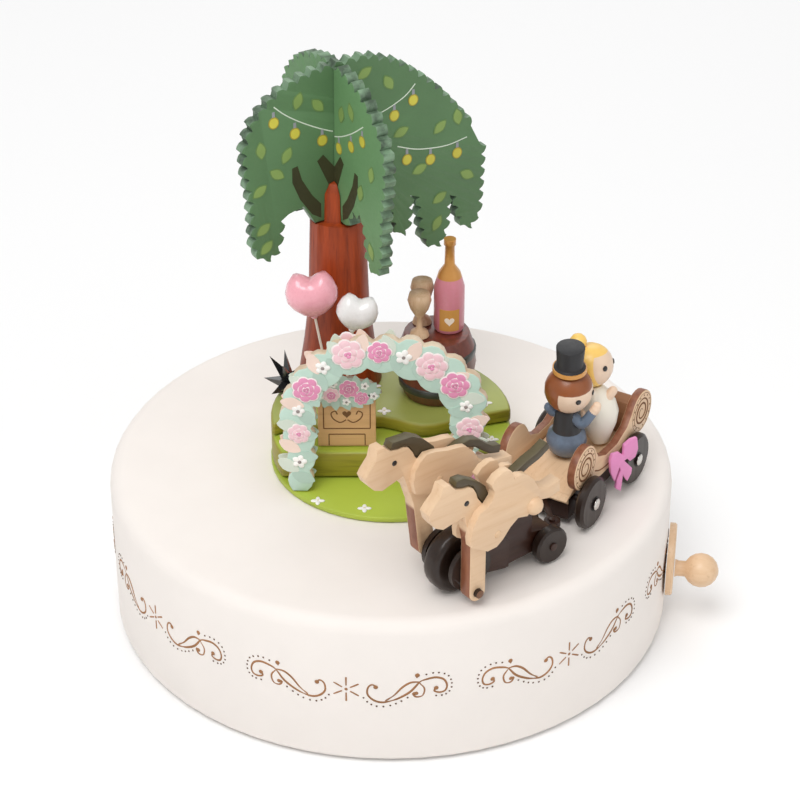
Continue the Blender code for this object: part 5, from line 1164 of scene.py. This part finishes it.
class MUSICBOX_OT_arch(bpy.types.Operator):
    """Dress the arch and the sign's garland with leaves, rosettes and small flowers"""
    bl_idname = "musicbox.arch"
    bl_label = "Finish Arch and Sign"

    def execute(self, context):
        colours = paint()
        sizes = context.scene.box_flowers
        along = Matrix.Rotation(ARCH_TURN, 3, "Z") @ Vector((1, 0, 0))
        out = Vector((along.y, -along.x, 0))
        face, edge, ends = darker(colours.mint, 1.05), linear(226, 208, 184), linear(206, 180, 150)
        ease("flower_arch", printed_board("arch_print", face, edge, out, ends), bevel=0.0003)
        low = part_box("flower_arch")[0].z
        rim = painted("petal_rim", linear(250, 236, 234), rough=0.5)
        rose = painted("petal_rose", colours.rose, rough=0.5, mottling=0.08)
        blush = painted("petal_blush", colours.blush, rough=0.5, mottling=0.05)
        deep = painted("petal_deep", darker(colours.rose, 0.86), rough=0.5)
        white = painted("petal_white", linear(248, 246, 242), rough=0.5)
        mint = painted("leaf_mint", darker(colours.mint, 0.92), rough=0.55, mottling=0.08)
        pale = painted("leaf_pale", linear(216, 226, 212), rough=0.55, mottling=0.05)
        peach = painted("leaf_peach", linear(244, 220, 206), rough=0.55)
        eye = painted("flower_heart", linear(150, 140, 136), rough=0.5)
        curve = smooth([Vector(p) for p in ARCH_LINE], 10)
        distance = [0.0]
        for a, b in zip(curve, curve[1:]):
            distance.append(distance[-1] + (b - a).length)

        def along_arch(where):
            index = max(i for i, d in enumerate(distance) if d <= where or i == 0)
            index = min(index, len(curve) - 2)
            direction = (curve[index + 1] - curve[index]).normalized()
            return curve[index] + direction * (where - distance[index]), direction

        foot = ARCH_PLACE + UP * low
        faces = [Flat(foot + out * ARCH_HALF * turn, along, UP, out * turn) for turn in (1, -1)]
        leaves = {"mint": Print("arch_leaves_mint", mint), "pale": Print("arch_leaves_pale", pale),
                  "peach": Print("arch_leaves_peach", peach)}
        chooser = random.Random(7)
        total = distance[-1]
        spots = {"rose": [], "blush": [], "white": []}
        for face in faces:
            for i in range(ARCH_LEAVES):
                spot, direction = along_arch(total * (i + 0.5) / ARCH_LEAVES)
                side = Vector((-direction.y, direction.x)) * (2.4 if i % 2 else -2.4)
                angle = math.atan2(side.y, side.x) + chooser.uniform(-0.6, 0.6)
                kind = ("mint", "pale", "mint", "peach")[i % 4]
                leaves[kind].blob(face, (spot.x + side.x) / 1000, (spot.y + side.y) / 1000, sizes.leaf * 0.62,
                                  sizes.leaf * 0.36, top=0.00010 + 0.00004 * (i % 3), turn=angle,
                                  points=14, pointed=0.45)
            for part, kind, scale in ARCH_FLOWERS:
                spot, direction = along_arch(total * part)
                shift = Vector((-direction.y, direction.x)) * chooser.uniform(-0.8, 0.8)
                place = face.at((spot.x + shift.x) / 1000, (spot.y + shift.y) / 1000, 0.0002)
                spots[kind].append((place, face.out, scale))
        for item in leaves.values():
            item.piece("base")
        radius = sizes.rosette
        rosette("arch_rosette_rose", spots["rose"], radius, (rim, rose, rose, deep))
        rosette("arch_rosette_blush", spots["blush"], radius, (rim, blush, blush, rose))
        small = sizes.small
        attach(petals("arch_white_flowers", spots["white"], white, count=5, ring=small * 0.5,
                       long=small * 0.55, wide=small * 0.42, thick=0.0004), "base")
        eyes = [(place + out * 0.0003, out, 1.0) for place, out, _ in spots["white"]]
        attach(studs("arch_flower_eyes", eyes, 0.0006, 0.0003, eye, segments=8, rings=6), "base")
        self.sign(context, rim, rose, blush, deep, white, mint, eye)
        return {"FINISHED"}

    def sign(self, context, rim, rose, blush, deep, white, mint, eye):
        sizes = context.scene.box_flowers
        board = wooden("sign_wood", linear(226, 182, 132), linear(196, 148, 98), (1, 0, 0), rough=0.55,
                       coat=0.1)
        ease("sign_board", board, bevel=0.0003)
        low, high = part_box("sign_board")
        burnt = painted("sign_burnt", linear(122, 84, 52), rough=0.7)
        width = (high.x - low.x) / 2
        middle = (low.x + high.x) / 2
        face = Flat((middle, low.y, low.z), (1, 0, 0), (0, 0, 1), (0, -1, 0))
        tall = high.z - low.z
        line = 0.00022
        wide, narrow, top = width * 0.80, width * 0.62, tall * 0.80
        frames = [[(-wide, 0.0062), (wide, 0.0062), (wide, top), (-wide, top), (-wide, 0.0062)],
                  [(-narrow, 0.0004), (-narrow, 0.0042), (narrow, 0.0042), (narrow, 0.0004)]]
        paths = []
        for corners in frames:
            for a, b in zip(corners, corners[1:]):
                paths.append([(face.at(a[0], a[1], -line * 0.4), line),
                              (face.at(b[0], b[1], -line * 0.4), line)])
        for side in (1, -1):
            curl = smooth([(side * 0.2, 9.2), (side * 2.0, 8.3), (side * 4.0, 9.6), (side * 4.6, 11.4),
                           (side * 3.4, 12.2), (side * 2.8, 11.1)], 5)
            paths.append([(face.at(p.x / 1000, p.y / 1000, -line * 0.4), line) for p in curl])
        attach(lines("sign_lines", paths, burnt, sides=6), "base")
        heart = Print("sign_heart", burnt)
        heart.patch(face, heart_outline(0.0, 0.0112, 0.0014), 0.00006)
        heart.piece("base")
        printed = printed_board("garland_print", linear(176, 190, 178), linear(186, 170, 150), (0, 1, 0))
        ease("sign_garland", printed, bevel=0.0002)
        low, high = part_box("sign_garland")
        middle = (low.x + high.x) / 2
        centre = (low.z + high.z) / 2
        front = Vector((0, -1, 0))
        y = low.y - 0.0001

        def spots(places):
            return [(Vector((middle + u / 1000, y, centre + v / 1000)), front, scale)
                    for u, v, scale in places]

        leaves = Print("garland_leaves", mint)
        face = Flat((middle, low.y, centre), (1, 0, 0), (0, 0, 1), (0, -1, 0))
        for i in range(16):
            angle = math.tau * i / 16
            u, v = 0.0080 * math.cos(angle), 0.0036 * math.sin(angle)
            leaves.blob(face, u, v, 0.0026, 0.0014, top=0.0001 + 0.00004 * (i % 3), turn=angle + 0.5,
                        points=12, pointed=0.5)
        leaves.piece("base")
        rosette("garland_rosette_rose", spots([(0.9, 1.4, 0.66), (4.6, -1.8, 0.5)]), sizes.rosette,
                (rim, rose, deep, deep))
        rosette("garland_rosette_blush", spots([(-4.2, -0.8, 0.56)]), sizes.rosette, (rim, blush, rose, rose))
        whites = spots([(-7.8, -1.6, 0.6), (0.2, -3.0, 0.6), (5.6, 2.4, 0.6), (8.2, -1.0, 0.6),
                        (-3.6, 3.0, 0.6)])
        small = sizes.small
        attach(petals("garland_white_flowers", whites, white, count=5, ring=small * 0.5, long=small * 0.55,
                       wide=small * 0.42, thick=0.0004), "base")
        eyes = [(place + out * 0.0002, out, 1.0) for place, out, _ in whites]
        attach(studs("garland_flower_eyes", eyes, 0.0004, 0.0003, eye, segments=8, rings=6), "base")


# Horse team

class MUSICBOX_OT_team(bpy.types.Operator):
    """Finish the horses, their manes and tails, the crank wheel and the chassis"""
    bl_idname = "musicbox.team"
    bl_label = "Finish Horse Team"

    def execute(self, context):
        across = TEAM.to_3x3() @ Vector((0, 1, 0))
        forward = TEAM.to_3x3() @ Vector((1, 0, 0))
        for name in ("near", "far"):
            lean = -1 if name == "far" else 1
            ease(f"{name}_horse", self.horse_wood(f"{name}_horse_wood", across * lean, forward), bevel=0.0009)
            mane = sawn_board(f"{name}_mane_stain", tuple(wood().mane), darker(wood().mane, 0.6),
                              linear(98, 88, 58), across, forward, shade=0.2)
            ease(f"{name}_mane", mane, bevel=0.0003)
            ease(f"{name}_tail", mane, bevel=0.0003)
        wheel = wooden("wheel_stain", wood().wheel, darker(wood().wheel, 0.6), UP, rough=0.4, coat=0.35,
                       scale=1.5, contrast=0.6)
        for node in ("crank_wheel", "team_wheel_outer", "team_wheel_inner"):
            ease(node, wheel)
        beam = wooden("team_beam", wood().dark, darker(wood().dark, 0.5), forward, rough=0.42, coat=0.3,
                      scale=1.2, contrast=0.6)
        ease("team_chassis", beam, bevel=0.0003)
        self.details(across)
        return {"FINISHED"}

    def horse_wood(self, name, outward, forward):
        """Pale wood all over, but brown on the core's edges below the chest, the front edge of the leg and
        below the neck: partly stain and partly painted shade.
        """
        made = Finish(name)
        face, fibre = sawn_face(made, tuple(wood().beech), tuple(wood().beech_grain), forward, streak=0.25)
        where = made.position()
        core = outward.dot(TEAM_PLACE) + HORSE_CORE
        layer = made.maths("SUBTRACT", made.dot(where, tuple(outward)), core)
        in_core = made.maths("LESS_THAN", made.maths("ABSOLUTE", layer), HORSE_CORE_HALF)
        facing = made.maths("ABSOLUTE", made.dot(made.normal(), tuple(outward)))
        edge_on = made.maths("SUBTRACT", 1.0, made.step(facing, 0.55, 0.12))
        below = made.maths("SUBTRACT", 1.0, made.step(made.dot(where, (0, 0, 1)), CHEST_HEIGHT, 0.0006))
        # Brown on the core's edges below the chest is partly stain and partly painted shade, where shade
        # falls under the neck and on the leg's front edge.
        brown = made.maths("MULTIPLY", made.maths("MULTIPLY", in_core, edge_on), below)
        scorch = made.noise(made.position((400, 400, 90)), 1.0, 4.0)
        stain_and_shade = made.ramp(scorch, [(0.3, linear(120, 66, 42)), (0.7, linear(158, 98, 66))])
        made.set(Base_Color=made.blend(brown, face, stain_and_shade), Coat_Weight=0.15, Coat_Roughness=0.25)
        made.gloss(fibre, 0.42, 0.56, 0.75)
        made.bump(fibre, 0.12, 0.00015)
        return made.material

    def details(self, across):
        dark = painted("eye_black", linear(26, 22, 20), rough=0.25, coat=0.6, texture=0.02)
        brown = painted("dowel_brown", linear(120, 84, 62), rough=0.5)
        horses = (("near", 1, -76.0, (0.0043, 0.0312), (-0.0049, 0.0135, 0.0186)),
                  ("far", -1, 22.0, (0.0111, 0.0317), (-0.0029, -0.0052, 0.0219)))
        for name, side, crank, eye, dowel in horses:
            turn = math.radians(crank)
            pivot = Vector((CRANK_THROW * math.cos(turn), 0.0, CRANK_AXLE + CRANK_THROW * math.sin(turn)))
            body = f"{name}_horse"

            def spot(x, y, z):
                return TEAM @ (pivot + Vector((x, y, z)))

            eyes = [(spot(eye[0], s, eye[1]), across * t, 1.0) for s, t in
                    ((side * HORSE_OUTSIDE, side), (side * HORSE_INSIDE, -side))]
            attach(studs(f"{name}_eyes", eyes, 0.00085, 0.00035, dark, segments=14, rings=8), body)
            dowels = [(spot(*dowel), across, 1.0)]
            end_grain = wooden(f"{name}_dowel_wood", wood().beech, wood().beech_grain, across, rough=0.5)
            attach(studs(f"{name}_dowel", dowels, 0.0012, 0.00025, end_grain, segments=14, rings=6), body)
            pin = [(spot(0.0, side * (HORSE_OUTSIDE + 0.0012), 0.0), across * side, 1.0)]
            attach(studs(f"{name}_pin_cap", pin, 0.00125, 0.0003, brown, segments=14, rings=6),
                    "crank_wheel")


# Carriage

PANEL_SPIRALS = ((0.0142, 1, 0.6), (-0.0216, -1, 2.5))
SPIRAL_HEIGHT = 0.0195
SPIRAL_TURNS = 2.6
SPIRAL_RIM = 0.0060
SPIRAL_BEADS = 0.0053


class MUSICBOX_OT_carriage(bpy.types.Operator):
    """Finish the carriage: burnt spirals on its panels, wheels with nail heads, seat and bow"""
    bl_idname = "musicbox.carriage"
    bl_label = "Finish Carriage"

    def execute(self, context):
        across = CARRIAGE.to_3x3() @ Vector((0, 1, 0))
        forward = CARRIAGE.to_3x3() @ Vector((1, 0, 0))
        beech, grain = tuple(wood().beech), tuple(wood().beech_grain)
        panel = sawn_board("panel_wood", darker(beech, 0.97), grain, tuple(wood().burnt_edge), across,
                           forward, shade=0.12)
        for node in ("carriage_panel_outer", "carriage_panel_inner"):
            ease(node, panel, bevel=0.0003)
        ease("carriage_floor", wooden("floor_wood", beech, grain, forward, rough=0.5, coat=0.15),
             bevel=0.0003)
        seat = wooden("seat_wood", linear(158, 112, 78), linear(120, 78, 52), across, rough=0.5, coat=0.15)
        ease("carriage_seat_back", seat, bevel=0.0003)
        dark = wood().dark
        chassis = wooden("chassis_stain", darker(dark, 0.8), darker(dark, 0.4), forward, rough=0.45, coat=0.2)
        ease("carriage_chassis", chassis, bevel=0.0002)
        wheel = wooden("carriage_wheel_stain", wood().wheel, darker(wood().wheel, 0.6), UP, rough=0.42,
                       coat=0.3, scale=1.5)
        ease("carriage_bow", painted("bow_paint", paint().bow, rough=0.45, coat=0.2, mottling=0.05),
             bevel=0.0002)
        nail = metal("nail_steel", linear(216, 212, 206), rough=0.2)
        # A black disc round each nail is painted shade standing for the hole in the wheel's hub.
        hole_shade = painted("hub_black", linear(20, 18, 17), rough=0.6)
        for name, end, side in (("front_outer", 1, 1), ("front_inner", 1, -1),
                                ("rear_outer", -1, 1), ("rear_inner", -1, -1)):
            body = f"carriage_wheel_{name}"
            ease(body, wheel)
            hub = CARRIAGE @ Vector((end * WHEEL_BASE_HALF, side * WHEEL_OUTSIDE, WHEEL_AXLE))
            ring = Print(f"hub_{name}", hole_shade)
            ring.blob(Flat(hub, forward, (0, 0, 1), across * side), 0, 0, 0.0023, 0.0023, top=0.00008,
                      points=18)
            ring.piece(body)
            head = hub + across * side * 0.0006
            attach(studs(f"nail_{name}", [(head, across * side, 1.0)], 0.0018, 0.0004, nail,
                          segments=16, rings=8), "carriage")
        self.spirals(forward, across)
        return {"FINISHED"}

    def spirals(self, forward, across):
        """Burnt spirals, rim lines and dots on both scrolls of each panel, and a curl between them."""
        burnt = painted("panel_burnt", linear(120, 80, 50), rough=0.7, mottling=0.15)
        width = 0.00028
        paths = []
        dots = []
        for side in (1, -1):
            face = Flat(CARRIAGE @ Vector((0, side * PANEL_OUTSIDE, 0)), forward, UP, across * side)
            for centre, sense, first in PANEL_SPIRALS:
                path = []
                for i in range(53):
                    part = i / 52
                    angle = sense * part * SPIRAL_TURNS * math.tau + first
                    spot = self.on_spiral(face, centre, 0.0007 + 0.0043 * part ** 0.8, angle, -width * 0.45)
                    path.append((spot, width * (0.6 + 0.7 * math.sin(math.pi * part))))
                paths.append(path)
                rim = [self.on_spiral(face, centre, SPIRAL_RIM, math.tau * i / 40, -width * 0.6)
                       for i in range(41)]
                paths.append([(spot, width * 0.8) for spot in rim])
                dots += [(self.on_spiral(face, centre, SPIRAL_BEADS, math.tau * i / 14), across * side, 1.0)
                         for i in range(14)]
            curl = smooth([(8.0, 15.2), (4.5, 13.6), (-1.0, 13.0), (-7.0, 13.4), (-13.0, 15.0)], 6)
            paths.append([(face.at(p.x / 1000, p.y / 1000, -width * 0.45), width) for p in curl])
        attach(lines("panel_lines", paths, burnt, sides=6), "carriage")
        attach(studs("panel_dots", dots, 0.00032, 0.00008, burnt, segments=8, rings=4), "carriage")

    def on_spiral(self, face, centre, radius, angle, lift=0.0):
        return face.at(centre + radius * math.cos(angle), SPIRAL_HEIGHT + radius * math.sin(angle), lift)


# Figures

GROOM = (CARRIAGE @ Matrix.Translation((0.0020, -0.0002, 0.0142))
         @ Matrix.Rotation(math.radians(4.6), 4, "Y") @ Matrix.Rotation(math.radians(-2.5), 4, "X"))
BRIDE = (CARRIAGE @ Matrix.Translation((-0.0078, 0.0061, 0.0145))
         @ Matrix.Rotation(math.radians(-5.0), 4, "Y") @ Matrix.Rotation(math.radians(12.5), 4, "X"))


class MUSICBOX_OT_figures(bpy.types.Operator):
    """Paint the two figures' hair, faces and clothes, and add eyes, arms and the hat's band"""
    bl_idname = "musicbox.figures"
    bl_label = "Finish Figures"

    def execute(self, context):
        self.groom()
        self.bride()
        return {"FINISHED"}

    def head(self, name, place, centre, radius, hair, gaze, brow, hairline):
        """Face and hair share one ball: the face is the patch around the gaze below the fringe."""
        made = Finish(name)
        middle = place @ Vector((0, 0, centre))
        turn = place.to_3x3()
        front = turn @ Vector(gaze).normalized()
        up = turn @ UP
        offset = made.add("VectorMath", operation="SUBTRACT")
        made.feed(offset.inputs[0], made.position())
        offset.inputs[1].default_value = middle
        ahead = made.dot(offset.outputs[0], tuple(front / radius))
        high = made.dot(offset.outputs[0], tuple(up / radius))
        wave = made.noise(made.position(), 220.0, 2.0)
        opening = made.maths("SUBTRACT", ahead, hairline)
        fringe = made.maths("SUBTRACT", brow, high)
        mask = made.maths("MULTIPLY", made.step(opening, 0.0, 0.015), made.step(fringe, 0.0, 0.015))
        tint = made.ramp(wave, [(0.3, darker(hair, 0.93)), (0.7, darker(hair, 1.07))])
        made.set(Base_Color=made.blend(mask, tint, tuple(paint().skin)), Coat_Weight=0.35, Coat_Roughness=0.2,
                 Roughness=0.42)
        return made.material

    def eyes(self, name, place, centre, radius, gaze, spread, height):
        dark = painted(name + "_black", linear(22, 18, 18), rough=0.2, coat=0.7, texture=0.02)
        points = []
        heading = math.atan2(gaze[1], gaze[0])
        for side in (-1, 1):
            angle = heading + side * spread
            flat = math.sqrt(1 - height * height)
            direction = Vector((flat * math.cos(angle), flat * math.sin(angle), height))
            spot = place @ (Vector((0, 0, centre)) + direction * radius)
            points.append((spot, place.to_3x3() @ direction, 1.0))
        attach(studs(name, points, 0.00085, 0.0003, dark, segments=14, rings=8), "carriage")

    def arm(self, name, finish, place, points, radii):
        """A bent arm or hand of changing width with round ends."""
        curve = smooth([place @ Vector(p) for p in points])
        total = len(curve) - 1
        path = []
        for i, spot in enumerate(curve):
            position = i / total * (len(radii) - 1)
            index = min(int(position), len(radii) - 2)
            width = radii[index] + (radii[index + 1] - radii[index]) * (position - index)
            path.append((spot, width))
        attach(lines(name, [path], finish, sides=14), "carriage")
        ends = [(curve[0], (curve[0] - curve[1]).normalized(), radii[0]),
                (curve[-1], (curve[-1] - curve[-2]).normalized(), radii[-1])]
        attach(studs(name + "_ends", ends, 1.0, 1.0, finish, segments=14, rings=10), "carriage")

    def groom(self):
        colours = paint()
        radius = GROOM_HEAD
        centre = GROOM_TALL + NECK_GAP + radius * HEAD_SEAT
        gaze = (0.198, 0.980, 0.0)
        ease("groom_head", self.head("groom_head_paint", GROOM, centre, radius, tuple(colours.brown_hair),
                                     gaze, brow=0.26, hairline=0.22))
        self.eyes("groom_eyes", GROOM, centre, radius, gaze, spread=0.48, height=0.0)
        made = Finish("groom_body_paint")
        height = made.dot(made.position(), (0, 0, 1))
        fine = made.noise(made.position(), 700.0, 3.0)
        waist = made.step(height, (GROOM @ Vector((0, 0, GROOM_WAIST))).z, 0.0001)
        blue = made.ramp(fine, [(0.3, darker(colours.suit, 0.9)), (0.7, darker(colours.suit, 1.1))])
        made.set(Base_Color=made.blend(waist, blue, tuple(colours.hat)), Coat_Weight=0.35, Coat_Roughness=0.2,
                 Roughness=0.42)
        ease("groom_body", made.material)
        ease("groom_hat", painted("hat_paint", colours.hat, rough=0.5, coat=0.1, mottling=0.05), bevel=0.0002)
        brim = centre + radius * HEAD_SEAT + NECK_GAP
        band = painted("hat_band", colours.gold, rough=0.4, coat=0.3)
        top, foot = brim + 0.0009, brim - 0.0003
        profile = [(0.0037, top), (0.00495, top), (0.0050, foot), (0.00475, foot), (0.0037, top)]
        solid("hat_band", lathe(profile, 40, GROOM), band, "carriage")
        sleeve = painted("sleeve_paint", colours.suit, rough=0.42, coat=0.35)
        self.arm("groom_arm_near", sleeve, GROOM, [(0.0009, 0.0028, 0.0142), (0.0009, 0.0054, 0.0131),
                                                   (-0.0008, 0.0076, 0.0168)], (0.0016, 0.0016, 0.0014))
        self.arm("groom_hand", painted("groom_hand_wood", colours.skin, rough=0.5, coat=0.1), GROOM,
                 [(-0.0009, 0.0077, 0.0170), (-0.0014, 0.0082, 0.0179), (-0.0018, 0.0084, 0.0188)],
                 (0.0014, 0.0015, 0.0013))
        self.arm("groom_arm_far", sleeve, GROOM, [(0.0009, -0.0026, 0.0140), (0.0014, -0.0042, 0.0143),
                                                  (0.0017, -0.0051, 0.0154)], (0.0015, 0.0016, 0.0016))

    def bride(self):
        colours = paint()
        radius = BRIDE_HEAD
        centre = BRIDE_TALL + NECK_GAP + radius * HEAD_SEAT
        gaze = (-0.08, 0.997, 0.0)
        ease("bride_head", self.head("bride_head_paint", BRIDE, centre, radius, tuple(colours.fair_hair),
                                     gaze, brow=0.58, hairline=0.48))
        self.eyes("bride_eyes", BRIDE, centre, radius, gaze, spread=0.50, height=0.03)
        ease("bride_body", painted("dress_paint", linear(240, 234, 220), rough=0.45, coat=0.3,
                                   mottling=0.02, texture=0.05))
        skin = painted("hand_wood", colours.skin, rough=0.5, coat=0.1)
        self.arm("bride_arm_near", skin, BRIDE, [(0.0010, 0.0010, 0.0134), (0.0004, 0.0036, 0.0139),
                                                 (-0.0014, 0.0054, 0.0160)], (0.0016, 0.0015, 0.0014))
        self.arm("bride_arm_far", skin, BRIDE, [(0.0016, -0.0030, 0.0150), (0.0044, -0.0030, 0.0128),
                                                (0.0064, -0.0014, 0.0112)], (0.0015, 0.0014, 0.0013))


# Stage

KEY_LIGHT_PLACE = (-0.30, -0.65, 1.30)
FILL_LIGHT_PLACE = (0.95, -0.65, 0.75)
BACK_LIGHT_PLACE = (0.1, 1.1, 0.9)
LIGHTS_AIM = Vector((0, 0, 0.06))
CAMERA_PLACE = Vector((0.0, -0.60725, 0.44293))
CAMERA_AIM = Vector((0.00269, 0.0, 0.06878))
FLOOR_REACH = 6


class MUSICBOX_OT_stage(bpy.types.Operator):
    """Set the pale floor, the soft lights and the camera"""
    bl_idname = "musicbox.stage"
    bl_label = "Build Stage"

    def execute(self, context):
        settings = context.scene.box_stage
        mesh = bpy.data.meshes.new("studio_floor")
        corners = [(x * FLOOR_REACH, y * FLOOR_REACH, 0) for x, y in ((-1, -1), (1, -1), (1, 1), (-1, 1))]
        mesh.from_pydata(corners, [], [(0, 1, 2, 3)])
        mesh.materials.append(painted("studio_floor_paint", linear(250, 250, 250), rough=0.9, mottling=0.0,
                                      texture=0.0))
        mesh_piece("studio_floor", mesh)
        world = context.scene.world or bpy.data.worlds.new("studio_world")
        context.scene.world = world
        world.use_nodes = True
        background = world.node_tree.nodes["Background"]
        background.inputs["Color"].default_value = (1.0, 1.0, 1.0, 1.0)
        background.inputs["Strength"].default_value = settings.sky
        self.light("key_light", KEY_LIGHT_PLACE, settings.key, 0.9)
        self.light("fill_light", FILL_LIGHT_PLACE, settings.fill, 1.2)
        self.light("back_light", BACK_LIGHT_PLACE, settings.back, 1.0)
        data = bpy.data.cameras.new("photo_camera")
        data.lens = settings.lens
        data.sensor_width = 36.0
        data.clip_start = 0.01
        camera = mesh_piece("photo_camera", data)
        camera.location = CAMERA_PLACE
        camera.rotation_euler = (CAMERA_AIM - CAMERA_PLACE).to_track_quat("-Z", "Y").to_euler()
        context.scene.camera = camera
        context.scene.view_settings.view_transform = "Standard"
        return {"FINISHED"}

    def light(self, name, place, power, size):
        data = bpy.data.lights.new(name, "AREA")
        data.energy = power
        data.shape = "DISK"
        data.size = size
        lamp = mesh_piece(name, data)
        lamp.location = place
        lamp.rotation_euler = (LIGHTS_AIM - lamp.location).to_track_quat("-Z", "Y").to_euler()


OPERATORS = (MUSICBOX_OT_drum, MUSICBOX_OT_movement, MUSICBOX_OT_garden, MUSICBOX_OT_tree, MUSICBOX_OT_table,
             MUSICBOX_OT_arch, MUSICBOX_OT_team, MUSICBOX_OT_carriage, MUSICBOX_OT_figures, MUSICBOX_OT_stage)


class MUSICBOX_PT_panel(bpy.types.Panel):
    """Buttons and settings of the music box"""
    bl_label = "Music Box"
    bl_idname = "MUSICBOX_PT_panel"
    bl_space_type = "VIEW_3D"
    bl_region_type = "UI"
    bl_category = "Music Box"

    def draw(self, context):
        for operator in OPERATORS:
            self.layout.operator(operator.bl_idname)
        for attribute, group in SETTINGS.items():
            box = self.layout.box()
            values = getattr(context.scene, attribute)
            for name in group.__annotations__:
                box.prop(values, name)


def register():
    for group in SETTINGS.values():
        bpy.utils.register_class(group)
    for attribute, group in SETTINGS.items():
        setattr(bpy.types.Scene, attribute, bpy.props.PointerProperty(type=group))
    for operator in OPERATORS:
        bpy.utils.register_class(operator)
    bpy.utils.register_class(MUSICBOX_PT_panel)


def unregister():
    bpy.utils.unregister_class(MUSICBOX_PT_panel)
    for operator in reversed(OPERATORS):
        bpy.utils.unregister_class(operator)
    for attribute, group in SETTINGS.items():
        delattr(bpy.types.Scene, attribute)
        bpy.utils.unregister_class(group)


def main():
    register()
    for name in ("drum", "movement", "garden", "tree", "table", "arch", "team", "carriage", "figures",
                 "stage"):
        getattr(bpy.ops.musicbox, name)()


if __name__ == "__main__":
    main()
